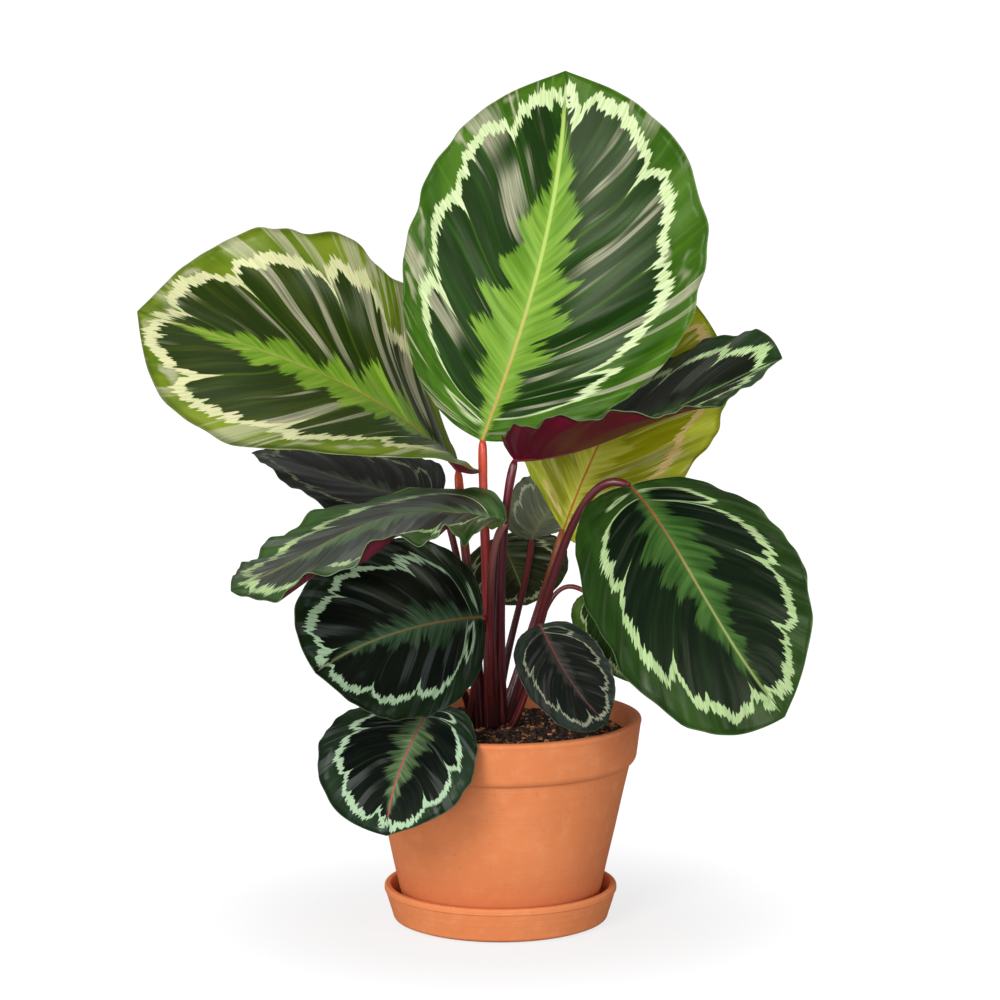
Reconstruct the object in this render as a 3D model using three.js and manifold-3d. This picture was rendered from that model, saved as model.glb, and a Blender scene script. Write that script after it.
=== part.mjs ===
// A potted calathea: thirteen patterned leaves on red stalks, soil, terracotta pot and saucer.
// Millimetres, +Z up, origin at the centre of the saucer's underside. The plant faces -Y.
import * as THREE from 'three';
import Module from 'manifold-3d';

const wasm = await Module();
wasm.setup();

// ---- sizes ---------------------------------------------------------------------------------
const GAP = 0.3; // clear air kept between neighbouring parts
const BLADE_THICKNESS = 1.2;
const BLADE_ROWS = 12; // steps from the leaf's base to its tip
const BLADE_SIDE_STEPS = 4; // steps from the midrib to one margin
const STALK_SIDES = 8;
const STALK_STEPS = 9;
const ROUND_STEPS = 48; // facets round the pot, the saucer and the soil

const VEIN_SWEEP = 1.9; // how far the side veins run forward on their way to the margin
const TIP_POINT = 0.035; // share of the blade taken by its short drawn-out tip

const SAUCER_OUTER_R = 66;
const SAUCER_FOOT_R = 57;
const SAUCER_HEIGHT = 21;
const SAUCER_WALL = 4.2;
const SAUCER_FLOOR = 5;
const POT_BOTTOM_Z = SAUCER_FLOOR + GAP;
const POT_FOOT_R = 54.6;
const POT_SHOULDER_Z = 90;
const POT_SHOULDER_R = 73;
const POT_BAND_R = 76.9; // the rim band just above its lower edge
const POT_RIM_R = 80;
const POT_RIM_Z = 117.7;
const POT_INNER_TOP_R = 74.8;
const POT_INNER_FOOT_R = 50;
const POT_FLOOR_Z = 11.5;
const DRAIN_R = 9;

const SOIL_EDGE_Z = 106.5;
const SOIL_MOUND = 4.5; // how much the soil rises round the crown of the plant
const SOIL_MOUND_SPREAD = 24;
const CROWN = [-2, 10]; // where the stalks leave the soil

const TERRACOTTA = { color: 0xc8744a, roughness: 0.85 };
const EARTH = { color: 0x2a1a12, roughness: 0.95 };

// ---- the leaves ----------------------------------------------------------------------------
// rib: the midrib's curve from base to tip, as four control points.
// face: which way the upper surface looks at the base and at the tip.
// half: width of the two halves. shape: where the blade is widest and how blunt it is.
// lift: for each half, degrees by which it rises at the rib and at the margin,
//       first at the leaf's base, then on its way to the tip.
// wave: for each half, height, number and phase of the waves along the margin.
// stalk: control points of the stalk below the blade; root: its radius at the soil, neck: at the blade.
const LEAVES = {
  a: {
    rib: [[-10, -12, 277], [13, 5, 337], [36, 11, 404], [36, 11, 481]],
    face: [[-0.4, -0.9, 0.2], [-0.21, -0.96, 0.16]],
    half: [86, 93],
    shape: [0.94, 1.01],
    lift: [[2, -8, -12, -20], [24, -15, -10, -19]],
    wave: [[1.5, 5, 0.1], [3, 6, 0.3]],
    stalk: [[-5, 1], [-6, -11, 185], [-10, -14, 228]],
    root: 4.8,
    neck: 2.3,
    color: 0x3f6a22,
  },
  b: {
    rib: [[-24, 22, 254], [-62, -9, 306], [-120, -33, 327], [-200, -36, 352]],
    face: [[-0.03, -0.24, 0.97], [-0.14, -0.73, 0.66]],
    half: [87, 87],
    shape: [0.92, 0.98],
    lift: [[13, 6, 7, 12, 4, -18], [31, -8, -7, 75, -19, 8]],
    wave: [[1.5, 5, 0.6], [2.5, 6, 0.1]],
    stalk: [[-11, 4], [-15, -6, 180], [-21, 2, 214]],
    root: 4.0,
    neck: 2.3,
    color: 0x5a7420,
  },
  c: {
    rib: [[8, -10, 265], [57, -34, 269], [102, -38, 304], [154, -58, 329]],
    face: [[-0.1, -0.13, 0.99], [0.09, -0.33, 0.94]],
    half: [64, 65],
    shape: [1.02, 0.81],
    lift: [[23, 11, 10, 11, 29, -20], [47, 35, 13, 42, 14, -17]],
    wave: [[2, 6, 0.2], [2.5, 7, 0.5]],
    stalk: [[1, 8], [-2, -4, 184], [1, -13, 241]],
    root: 3.5,
    neck: 2.3,
    color: 0x1f3318,
  },
  d: {
    rib: [[36, 46, 216], [50, 32, 258], [71, 47, 304], [109, 64, 347]],
    face: [[-0.33, -0.6, 0.73], [-0.03, -0.86, 0.51]],
    half: [64, 64],
    shape: [1, 0.87],
    lift: [[-6, -3, 5, -5], [12, 11, 10, -5]],
    wave: [[1.5, 5, 0.2], [2, 6, 0.4]],
    stalk: [[1, 16], [17, 22, 158], [27, 36, 188]],
    root: 3.6,
    neck: 2.3,
    color: 0x8c8a18,
  },
  e: {
    rib: [[72, -26, 253], [98, -65, 231], [115, -84, 184], [156, -78, 133]],
    face: [[0.31, -0.73, 0.61], [0.3, -0.88, 0.37]],
    half: [67, 67],
    shape: [1, 0.91],
    lift: [[8, -8, -9, -6], [9, -5, 6, -10]],
    wave: [[1.5, 5, 0.5], [2, 6, 0.2]],
    stalk: [[4, 11], [25, -2, 167], [38, -22, 272]],
    root: 3.6,
    neck: 2.2,
    color: 0x24401c,
  },
  f: {
    rib: [[3, -43, 235], [-71, -52, 257], [-87, -88, 230], [-146, -103, 208]],
    face: [[-0.02, -0.15, 0.99], [-0.33, -0.15, 0.93]],
    half: [68, 68],
    shape: [0.88, 0.92],
    lift: [[30, -50, -2, 14, -20, 42], [40, -35, -25, 10, 10, -10]],
    wave: [[5, 5.5, 0.1], [2.5, 6, 0.5]],
    stalk: [[-5, 1], [-5, -14, 175], [-9, -32, 223]],
    root: 3.1,
    neck: 1.9,
    color: 0x3a5030,
  },
  g: {
    rib: [[-10, -15, 177], [-53, -54, 182], [-88, -87, 171], [-100, -110, 164]],
    face: [[-0.22, -0.94, 0.24], [0.08, -0.94, 0.32]],
    half: [49, 53],
    shape: [0.99, 0.79],
    lift: [[3, -4, -3, -14], [9, 2, 5, -8]],
    wave: [[1.2, 5, 0.3], [1.2, 5, 0.7]],
    stalk: [[-17, 5], [-16, -2, 140], [-7, -4, 168]],
    root: 2.6,
    neck: 1.8,
    color: 0x16281c,
  },
  h: {
    rib: [[-39, -46, 131], [-50, -75, 118], [-62, -97, 96], [-62, -111, 74]],
    face: [[-0.25, -0.76, 0.6], [-0.03, -1, 0.03]],
    half: [41, 47],
    shape: [0.99, 0.88],
    lift: [[25, 0, 12, -6], [10, 2, 8, 0]],
    wave: [[1.2, 5, 0.2], [1.2, 5, 0.6]],
    stalk: [[-16, 11], [-20, 10, 140], [-33, -16, 152]],
    root: 2.3,
    neck: 1.7,
    color: 0x1c2c22,
  },
  i: {
    rib: [[22, -31, 175], [32, -43, 157], [41, -55, 140], [59, -56, 125]],
    face: [[0.17, -0.75, 0.64], [0.44, -0.82, 0.37]],
    half: [27, 28],
    shape: [1.03, 0.81],
    lift: [[11, -4, 3, -8], [13, 0, 10, 1]],
    wave: [[0.8, 5, 0.3], [0.8, 5, 0.1]],
    stalk: [[6, 2], [18, -6, 135], [24, -14, 174]],
    root: 2.3,
    neck: 1.4,
    color: 0x202a24,
  },
  j: {
    rib: [[-34, 33, 237], [-69, 47, 233], [-103, 60, 250], [-143, 64, 258]],
    face: [[0.03, -0.42, 0.91], [0.08, -0.12, 0.99]],
    half: [47, 48],
    shape: [1, 0.86],
    lift: [[14, 3, 15, 0], [10, 0, -2, -6]],
    wave: [[1.5, 5, 0.4], [1.2, 5, 0.1]],
    stalk: [[-12, 19], [-16, 28, 170], [-26, 35, 212]],
    root: 2.9,
    neck: 1.9,
    color: 0x1b2618,
  },
  k: {
    rib: [[18, 54, 209], [22, 70, 219], [38, 84, 228], [46, 98, 245]],
    face: [[-0.33, -0.85, 0.4], [-0.29, -0.86, 0.42]],
    half: [27, 27],
    shape: [0.97, 0.87],
    lift: [[14, 3, 6, -4], [16, 2, 5, -5]],
    wave: [[1, 5, 0.4], [1, 5, 0.1]],
    stalk: [[-2, 22], [2, 26, 153], [15, 38, 180]],
    root: 2.6,
    neck: 1.7,
    color: 0x45483c,
  },
  l: {
    rib: [[0, 66, 209], [5, 62, 196], [12, 56, 184], [15, 48, 172]],
    face: [[0.07, -0.9, 0.42], [0.08, -0.99, 0.12]],
    half: [32, 32],
    shape: [0.99, 0.86],
    lift: [[4, -1, 10, -4], [6, 0, 12, -2]],
    wave: [[1, 5, 0.4], [1, 5, 0.1]],
    stalk: [[-5, 26], [-4, 38, 170], [-5, 60, 214]],
    root: 2.4,
    neck: 1.5,
    color: 0x33442c,
  },
  m: {
    rib: [[49, 27, 183], [63, 12, 175], [78, 8, 159], [77, 2, 135]],
    face: [[0.21, -0.81, 0.55], [0.13, -0.98, 0.11]],
    half: [26, 26],
    shape: [1.01, 0.84],
    lift: [[5, 0, 5, -5], [12, 3, 7, -4]],
    wave: [[1, 5, 0.4], [1, 5, 0.1]],
    stalk: [[7, 19], [20, 20, 153], [25, 32, 200]],
    root: 2.1,
    neck: 1.3,
    color: 0x54722a,
  },
};

// ---- small helpers -------------------------------------------------------------------------
const vec = (p) => new THREE.Vector3(...p);

/** Point on a cubic curve with four control points. */
function onCurve(points, t) {
  return new THREE.CubicBezierCurve3(...points.map(vec)).getPoint(t);
}

/** Blend of values keyed at the base and the tip, or at the base, the middle and the tip. */
function keyed(values, u) {
  if (values.length === 2) {
    return values[0] * (1 - u) + values[1] * u;
  }
  const base = (1 - u) * (1 - 2 * u);
  const middle = 4 * u * (1 - u);
  const tip = u * (2 * u - 1);
  return values[0] * base + values[1] * middle + values[2] * tip;
}

/** A mesh from points and triangles, each an array of numbers. */
function meshOf(name, positions, triangles, look) {
  const geometry = new THREE.BufferGeometry();
  geometry.setAttribute('position', new THREE.Float32BufferAttribute(positions, 3));
  geometry.setIndex(triangles);
  geometry.computeVertexNormals();
  const material = new THREE.MeshStandardMaterial({ metalness: 0, ...look });
  const mesh = new THREE.Mesh(geometry, material);
  mesh.name = name;
  return mesh;
}

// ---- blades --------------------------------------------------------------------------------
/** The midrib: positions and directions at any distance along it. */
class Rib {
  constructor(points) {
    this.curve = new THREE.CubicBezierCurve3(...points.map(vec));
    this.curve.arcLengthDivisions = 200;
    this.length = this.curve.getLength();
  }

  at(distance) {
    const u = Math.min(Math.max(distance / this.length, 0), 1);
    return { point: this.curve.getPointAt(u), along: this.curve.getTangentAt(u).normalize(), u };
  }
}

/** Half width and distance along the rib, as shares, at a station on the margin. */
function marginAt(shape, station) {
  const turn = Math.PI * station;
  const across = Math.pow(Math.abs(Math.sin(turn)), shape[1]);
  const plain = Math.pow((1 - Math.cos(turn)) / 2, shape[0]);
  return { across, along: plain * (1 - TIP_POINT) + TIP_POINT * Math.pow(station, 14) };
}

/** A point of the blade's middle surface: station 0..1 along the margin, share 0..1 of a half. */
function bladePoint(leaf, rib, side, station, share) {
  const half = side < 0 ? 0 : 1;
  const width = leaf.half[half];
  const margin = marginAt(leaf.shape, station);
  const start = Math.pow(margin.along, VEIN_SWEEP);
  const rest = 1 - share;
  const across = width * margin.across * (2 * rest * share * 0.62 + share * share);
  const bend = start + 0.38 * (margin.along - start);
  const shareAlong = rest * rest * start + 2 * rest * share * bend + share * share * margin.along;
  const { point, along, u } = rib.at(shareAlong * rib.length);

  const facing = new THREE.Vector3(0, 0, 0);
  facing.addScaledVector(vec(leaf.face[0]), 1 - u);
  facing.addScaledVector(vec(leaf.face[1]), u);
  const sideways = new THREE.Vector3().crossVectors(along, facing).normalize();
  const up = new THREE.Vector3().crossVectors(sideways, along);

  const lift = leaf.lift[half];
  const atRib = THREE.MathUtils.degToRad(keyed(lift.filter((_, k) => k % 2 === 0), u));
  const atMargin = THREE.MathUtils.degToRad(keyed(lift.filter((_, k) => k % 2 === 1), u));
  let turn = (atMargin - atRib) / width;
  if (Math.abs(turn) < 1e-6) {
    turn = 1e-6;
  }
  const out = (Math.sin(atRib + turn * across) - Math.sin(atRib)) / turn;
  let rise = -(Math.cos(atRib + turn * across) - Math.cos(atRib)) / turn;
  const [height, count, phase] = leaf.wave[half];
  const ripple = Math.sin(2 * Math.PI * (count * station + phase));
  rise += height * ripple * margin.across * Math.pow(share, 3);
  return point.addScaledVector(sideways, side * out).addScaledVector(up, rise);
}

/** Positions and triangles of a closed blade, thickness mm thick and grown by grow mm at its margin. */
function bladeSolid(leaf, thickness, grow = 0) {
  const rib = new Rib(leaf.rib);
  const columns = 2 * BLADE_SIDE_STEPS + 1;
  const grid = [];
  const faces = [];
  const index = [];
  for (let row = 0; row <= BLADE_ROWS; row++) {
    const station = row / BLADE_ROWS;
    index.push([]);
    for (let column = 0; column < columns; column++) {
      const share = (column - BLADE_SIDE_STEPS) / BLADE_SIDE_STEPS;
      const end = row === 0 || row === BLADE_ROWS;
      if (end && column > 0) {
        index[row].push(index[row][0]);
        continue;
      }
      index[row].push(grid.length);
      grid.push(bladePoint(leaf, rib, share < 0 ? -1 : 1, station, end ? 0 : Math.abs(share)));
    }
  }
  for (let row = 0; row < BLADE_ROWS; row++) {
    for (let column = 0; column < columns - 1; column++) {
      const a = index[row][column];
      const b = index[row][column + 1];
      const c = index[row + 1][column + 1];
      const d = index[row + 1][column];
      if (a !== b) {
        faces.push([a, b, c]);
      }
      if (c !== d) {
        faces.push([a, c, d]);
      }
    }
  }
  const normals = grid.map(() => new THREE.Vector3());
  for (const [a, b, c] of faces) {
    const u = grid[b].clone().sub(grid[a]);
    const v = grid[c].clone().sub(grid[a]);
    const normal = u.cross(v);
    [a, b, c].forEach((k) => normals[k].add(normal));
  }
  normals.forEach((n) => n.normalize());
  if (grow > 0) {
    const centre = rib.at(rib.length / 2).point;
    grid.forEach((p) => p.addScaledVector(p.clone().sub(centre).normalize(), grow));
  }
  const count = grid.length;
  const positions = [];
  for (const way of [1, -1]) {
    grid.forEach((p, k) => {
      const q = p.clone().addScaledVector(normals[k], (way * thickness) / 2);
      positions.push(q.x, q.y, q.z);
    });
  }
  const triangles = [];
  for (const [a, b, c] of faces) {
    triangles.push(a, b, c);
    triangles.push(a + count, c + count, b + count);
  }
  for (let row = 0; row < BLADE_ROWS; row++) {
    const left = [index[row][0], index[row + 1][0]];
    const right = [index[row + 1][columns - 1], index[row][columns - 1]];
    for (const [from, to] of [left, right]) {
      triangles.push(from, to, to + count);
      triangles.push(from, to + count, from + count);
    }
  }
  return { positions, triangles };
}

// ---- stalks --------------------------------------------------------------------------------
/** Height of the soil's surface. */
function soilHeight(x, y) {
  const away = Math.hypot(x - CROWN[0], y - CROWN[1]);
  return SOIL_EDGE_Z + SOIL_MOUND * Math.exp(-((away / SOIL_MOUND_SPREAD) ** 2));
}

/** Positions and triangles of a leaf's stalk, grown all round by grow mm. */
function stalkSolid(leaf, grow = 0) {
  const [x, y] = leaf.stalk[0];
  const root = [x, y, soilHeight(x, y) + 1.0];
  const blade = new Rib(leaf.rib);
  const neckGap = leaf.neck + BLADE_THICKNESS / 2 + GAP;
  const base = blade.at(0);
  const end = base.point.clone();
  const approach = end.clone().sub(vec(leaf.stalk[2])).normalize();
  end.addScaledVector(approach, -neckGap * 0.6);
  const curve = new THREE.CubicBezierCurve3(vec(root), vec(leaf.stalk[1]), vec(leaf.stalk[2]), end);
  const positions = [];
  const triangles = [];
  let across = new THREE.Vector3(1, 0, 0);
  for (let step = 0; step <= STALK_STEPS; step++) {
    const u = step / STALK_STEPS;
    const centre = curve.getPointAt(u);
    const along = curve.getTangentAt(u).normalize();
    across.addScaledVector(along, -across.dot(along)).normalize();
    const other = new THREE.Vector3().crossVectors(along, across);
    const radius = leaf.neck + (leaf.root - leaf.neck) * Math.pow(1 - u, 1.6) + grow;
    if (step === 0) {
      centre.addScaledVector(along, -grow);
    }
    if (step === STALK_STEPS) {
      centre.addScaledVector(along, grow);
    }
    for (let k = 0; k < STALK_SIDES; k++) {
      const turn = (2 * Math.PI * k) / STALK_SIDES;
      const p = centre.clone();
      p.addScaledVector(across, radius * Math.cos(turn));
      p.addScaledVector(other, radius * Math.sin(turn));
      positions.push(p.x, p.y, p.z);
    }
  }
  for (let step = 0; step < STALK_STEPS; step++) {
    for (let k = 0; k < STALK_SIDES; k++) {
      const a = step * STALK_SIDES + k;
      const b = step * STALK_SIDES + ((k + 1) % STALK_SIDES);
      triangles.push(a, b, b + STALK_SIDES, a, b + STALK_SIDES, a + STALK_SIDES);
    }
  }
  const last = STALK_STEPS * STALK_SIDES;
  for (let k = 1; k < STALK_SIDES - 1; k++) {
    triangles.push(0, k + 1, k);
    triangles.push(last, last + k, last + k + 1);
  }
  return { positions, triangles };
}

// ---- solids for cutting --------------------------------------------------------------------
function toManifold({ positions, triangles }) {
  const vertProperties = new Float32Array(positions);
  const triVerts = new Uint32Array(triangles);
  return new wasm.Manifold(new wasm.Mesh({ numProp: 3, vertProperties, triVerts }));
}

/** The largest connected piece of a solid. */
function largest(solid) {
  const pieces = solid.decompose();
  return pieces.reduce((best, piece) => (piece.volume() > best.volume() ? piece : best));
}

function fromManifold(solid) {
  const mesh = solid.getMesh();
  const positions = [];
  for (let k = 0; k < mesh.numVert; k++) {
    for (let axis = 0; axis < 3; axis++) {
      positions.push(mesh.vertProperties[k * mesh.numProp + axis]);
    }
  }
  return { positions, triangles: Array.from(mesh.triVerts) };
}

// ---- pot, saucer and soil ------------------------------------------------------------------
/** A solid of revolution from a profile of [radius, height] pairs that starts and ends alike. */
function turned(name, profile, look) {
  const points = profile.map(([r, z]) => new THREE.Vector2(r, z));
  const geometry = new THREE.LatheGeometry(points, ROUND_STEPS);
  geometry.rotateX(Math.PI / 2);
  const mesh = new THREE.Mesh(geometry, new THREE.MeshStandardMaterial({ metalness: 0, ...look }));
  mesh.name = name;
  return mesh;
}

function saucer() {
  const inner = SAUCER_OUTER_R - SAUCER_WALL;
  return turned('saucer', [
    [0, 0],
    [SAUCER_FOOT_R, 0],
    [SAUCER_FOOT_R + 2.8, 1.6],
    [SAUCER_FOOT_R + 4.2, 4.4],
    [SAUCER_OUTER_R - 2.2, 11.5],
    [SAUCER_OUTER_R - 0.8, SAUCER_HEIGHT - 4.4],
    [SAUCER_OUTER_R, SAUCER_HEIGHT - 3],
    [SAUCER_OUTER_R, SAUCER_HEIGHT - 1.2],
    [SAUCER_OUTER_R - 1.2, SAUCER_HEIGHT],
    [inner + 1, SAUCER_HEIGHT],
    [inner, SAUCER_HEIGHT - 1.2],
    [SAUCER_FOOT_R + 0.4, SAUCER_FLOOR + 1.4],
    [SAUCER_FOOT_R - 1.2, SAUCER_FLOOR],
    [0, SAUCER_FLOOR],
    [0, 0],
  ], TERRACOTTA);
}

function pot() {
  const profile = [
    [DRAIN_R, POT_BOTTOM_Z],
    [POT_FOOT_R - 1.5, POT_BOTTOM_Z],
    [POT_FOOT_R, POT_BOTTOM_Z + 1.5],
    [POT_SHOULDER_R, POT_SHOULDER_Z],
    [POT_SHOULDER_R + 0.6, POT_SHOULDER_Z + 1.6],
    [POT_BAND_R - 1.2, POT_SHOULDER_Z + 3.4],
    [POT_BAND_R, POT_SHOULDER_Z + 5.4],
    [POT_RIM_R - 0.6, POT_RIM_Z - 3.6],
    [POT_RIM_R, POT_RIM_Z - 2.2],
    [POT_RIM_R - 0.7, POT_RIM_Z - 0.6],
    [POT_RIM_R - 2, POT_RIM_Z],
    [POT_INNER_TOP_R + 1.2, POT_RIM_Z],
    [POT_INNER_TOP_R, POT_RIM_Z - 1.4],
    [POT_INNER_FOOT_R, POT_FLOOR_Z],
    [DRAIN_R, POT_FLOOR_Z],
    [DRAIN_R, POT_BOTTOM_Z],
  ];
  return turned('pot', profile, TERRACOTTA);
}

/** The potting soil that fills the pot, with a low mound round the crown. */
function soil() {
  const lean = (POT_INNER_TOP_R - POT_INNER_FOOT_R) / (POT_RIM_Z - 1.4 - POT_FLOOR_Z);
  const wall = (z) => POT_INNER_FOOT_R + lean * (z - POT_FLOOR_Z) - GAP * 1.4;
  const floor = POT_FLOOR_Z + GAP;
  const rings = 4;
  const positions = [0, 0, floor];
  const triangles = [];
  const rows = [[wall(floor), () => floor], [wall(SOIL_EDGE_Z), soilHeight]];
  for (let ring = rings - 1; ring > 0; ring--) {
    rows.push([(wall(SOIL_EDGE_Z) * ring) / rings, soilHeight]);
  }
  for (const [radius, height] of rows) {
    for (let k = 0; k < ROUND_STEPS / 2; k++) {
      const turn = (4 * Math.PI * k) / ROUND_STEPS;
      const x = radius * Math.cos(turn);
      const y = radius * Math.sin(turn);
      positions.push(x, y, height(x, y));
    }
  }
  const count = ROUND_STEPS / 2;
  const top = positions.length / 3;
  positions.push(0, 0, soilHeight(0, 0));
  for (let k = 0; k < count; k++) {
    const next = (k + 1) % count;
    triangles.push(0, 1 + next, 1 + k);
    for (let row = 0; row < rows.length - 1; row++) {
      const a = 1 + row * count;
      triangles.push(a + k, a + next, a + count + next, a + k, a + count + next, a + count + k);
    }
    const rim = 1 + (rows.length - 1) * count;
    triangles.push(rim + k, rim + next, top);
  }
  return meshOf('soil', positions, triangles, EARTH);
}

// ---- assembly ------------------------------------------------------------------------------
const group = new THREE.Group();
group.name = 'potted_calathea';
group.add(saucer(), pot(), soil());

const standing = []; // stalks already placed, grown by the gap
for (const [name, leaf] of Object.entries(LEAVES)) {
  const blade = bladeSolid(leaf, BLADE_THICKNESS);
  group.add(meshOf(`leaf_${name}_blade`, blade.positions, blade.triangles, {
    color: leaf.color,
    roughness: 0.4,
    side: THREE.DoubleSide,
  }));
  let stalk = toManifold(stalkSolid(leaf));
  const away = toManifold(bladeSolid(leaf, BLADE_THICKNESS + 2 * GAP, GAP));
  stalk = largest(stalk.subtract(away));
  for (const other of standing) {
    if (stalk.intersect(other).volume() > 0) {
      stalk = largest(stalk.subtract(other));
    }
  }
  standing.push(toManifold(stalkSolid(leaf, GAP)));
  const { positions, triangles } = fromManifold(stalk);
  group.add(meshOf(`leaf_${name}_stalk`, positions, triangles, { color: 0x6e2026, roughness: 0.5 }));
}

export default group;
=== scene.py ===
"""The looks of a potted calathea: patterned leaves on red stalks, soil, terracotta pot and saucer."""

import logging
import math
from collections.abc import Callable
from dataclasses import dataclass
from enum import Enum

import bpy
import numpy as np
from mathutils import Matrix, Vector


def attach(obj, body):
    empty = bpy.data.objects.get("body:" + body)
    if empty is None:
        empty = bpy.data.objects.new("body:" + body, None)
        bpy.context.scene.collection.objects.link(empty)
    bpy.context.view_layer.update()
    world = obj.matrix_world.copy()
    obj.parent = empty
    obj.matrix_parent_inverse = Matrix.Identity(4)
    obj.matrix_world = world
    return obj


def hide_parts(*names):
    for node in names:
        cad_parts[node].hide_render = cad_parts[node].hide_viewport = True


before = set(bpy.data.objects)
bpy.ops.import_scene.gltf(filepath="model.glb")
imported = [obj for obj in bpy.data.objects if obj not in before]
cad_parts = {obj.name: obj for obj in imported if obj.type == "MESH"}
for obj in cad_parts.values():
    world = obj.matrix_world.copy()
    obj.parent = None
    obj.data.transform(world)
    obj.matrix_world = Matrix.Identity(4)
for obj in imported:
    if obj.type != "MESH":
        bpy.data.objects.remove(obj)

log = logging.getLogger("calathea")

Triple = tuple[float, float, float]
Pair = tuple[Triple, Triple]  # a colour and its lighter sister, or one end and the other
Profile = list[tuple[float, float]]  # radius and height, in millimetres

MM = 0.001
LEAF_MAP = "leaf"  # u numbers the veins from base to tip, v runs along them from margin to margin
PLACE_MAP = "place"  # u is how far along the midrib, v how far from it towards the margin
STALK_MAP = "stalk"  # u runs up the stalk, v round it

# The outline and the veins.
BLADE_THICKNESS = 0.6
TIP_POINT = 0.035  # share of the blade in its short drawn-out tip
TIP_POWER = 14
VEIN_SWEEP = (1.6, 0.42)  # veins that end at the margin start much nearer the base
VEIN_BEND_ACROSS = 0.58
VEIN_BEND_ALONG = 0.4
LANE_SHIFT = 0.35  # the veins of one half leave the midrib between those of the other
RAGGED = 0.0085  # unevenness of the outline, of the half width
CORRUGATION = 0.0272  # depth of the folds between veins, of the half width
RIB_DEPTH = 0.9
RIB_WIDTH = 1.7
RIB_ON_TOP = 0.35  # share of the midrib's ridge that dents the upper side
RIB_TAPER = 0.75  # share of the ridge that is gone at the tip
LARGE_LEAF = 90  # half width for which the midrib's depth and width are given
CROWDING = 1.25  # above one, points crowd towards the midrib
WOBBLE_COUNTS = (7.3, 12.7)  # uneven bulges round the outline
SMALL_WAVES = (0.32, 2.7, 3)  # height, count and phase of the margin's small waves, to its large ones

# The markings, as shares of the leaf's outline.
RING_TIP = 0.93
RING_ZIGZAG = 0.12
RING_EDGE = 0.006
FEATHER_START = 0.3
FEATHER_END = 0.9
SIDE_KEY = 7.0  # parts the patterns of the two halves
LEAF_KEY = 13.0  # parts the patterns of the leaves

# The soil, which rises a little round the crown of the plant.
SOIL_EDGE_Z = 106.5
SOIL_MOUND = 4.5
SOIL_MOUND_SPREAD = 24
SOIL_FOOT_Z = 11.9
SOIL_RADIUS = 72.2
SOIL_FOOT_RADIUS = 49.6
SOIL_SINK = 0.3  # the bare soil lies a little lower, and its crumbs fill it up
SOIL_WAVES = 14
SOIL_WAVE_PITCH = 0.28
SOIL_WAVE_HEIGHT = 0.16
SOIL_GRAIN = 0.22
SOIL_SEED = 7
CROWN = (-2, 10)

# The stalks, along their length from 0 at the soil to 1 at the blade.
STALK_SINK = 0.4
STALK_TAPER = 1.6
SWELLING = (0.1, 0.93, 0.05)  # how much thicker, where, and over what stretch
CLOSING = (0.35, 0.97)  # how much thinner at the very end, and from where
GROOVES = 3
GROOVE_DEPTH = 0.05

SAUCER_PROFILE = [
    (0, 0), (56.6, 0), (60.8, 1.6), (61.6, 4.6), (63.8, 11.5), (65.2, 16.4), (65.4, 17.2), (66, 17.6),
    (66, 20), (65.2, 21), (62.6, 21), (61.8, 19.8), (57.4, 6.4), (55.8, 5), (0, 5),
]
POT_PROFILE = [
    (9, 5.3), (53.1, 5.3), (54.6, 6.8), (73, 90), (73.6, 91.8), (75.7, 93.2), (76.9, 95.4), (79.5, 114),
    (80, 115.6), (79.6, 117.1), (78, 117.7), (76, 117.7), (74.8, 116.3), (50, 11.5), (9, 11.5), (9, 5.3),
]


# ---- the leaves -----------------------------------------------------------------------------
@dataclass(frozen=True)
class LeafFinish:
    """Colours of one leaf, as screen values from 0 to 255, with the colour of its painted sheen, and how
    strong its markings are.
    """

    seed: float
    margin: Pair = ((52, 92, 32), (84, 128, 50))
    dark: Pair = ((14, 34, 20), (30, 54, 28))
    ring: Pair = ((176, 210, 138), (205, 226, 165))
    feather: Pair = ((74, 122, 58), (118, 158, 88))
    midrib: Pair = ((150, 84, 50), (150, 160, 96))  # base and tip
    under: Pair = ((92, 20, 44), (128, 38, 66))
    # The stalk's colours run from foot to neck; its dark foot is partly its own colour and partly painted
    # shade where the stalks crowd at the soil.
    stalk: tuple[Triple, Triple, Triple] = ((38, 8, 12), (88, 18, 26), (120, 34, 38))  # foot to neck
    # Painted sheen: a pale colour laid in streaks and blotches as a painted reflection of the lights, and how
    # much of it.
    painted_sheen: Triple = (128, 132, 116)
    painted_sheen_share: float = 0.25
    lobes: float = 6.0
    ring_level: float = 0.76
    ring_width: float = 0.068
    feather_reach: float = 0.3
    feather_soft: float = 0.03
    feather_fade: float = 0.5
    relief: float = 0.35
    gloss: float = 0.24


@dataclass(frozen=True)
class Leaf:
    """One leaf, in millimetres and degrees.

    rib: control points of the midrib, base to tip. face: where the upper side looks, at base and tip.
    half: widths of the two halves. shape: where it is widest, and how blunt. lift: rise of each half at
    the rib and at the margin, keyed along the leaf. wave: height, count and phase of the margin's waves.
    stalk: control points of the stalk below the blade. root, neck: the stalk's radii.
    """

    rib: tuple[Triple, Triple, Triple, Triple]
    face: Pair
    half: tuple[float, float]
    shape: tuple[float, float]
    lift: tuple
    wave: Pair
    stalk: tuple
    root: float
    neck: float
    finish: LeafFinish


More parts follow.
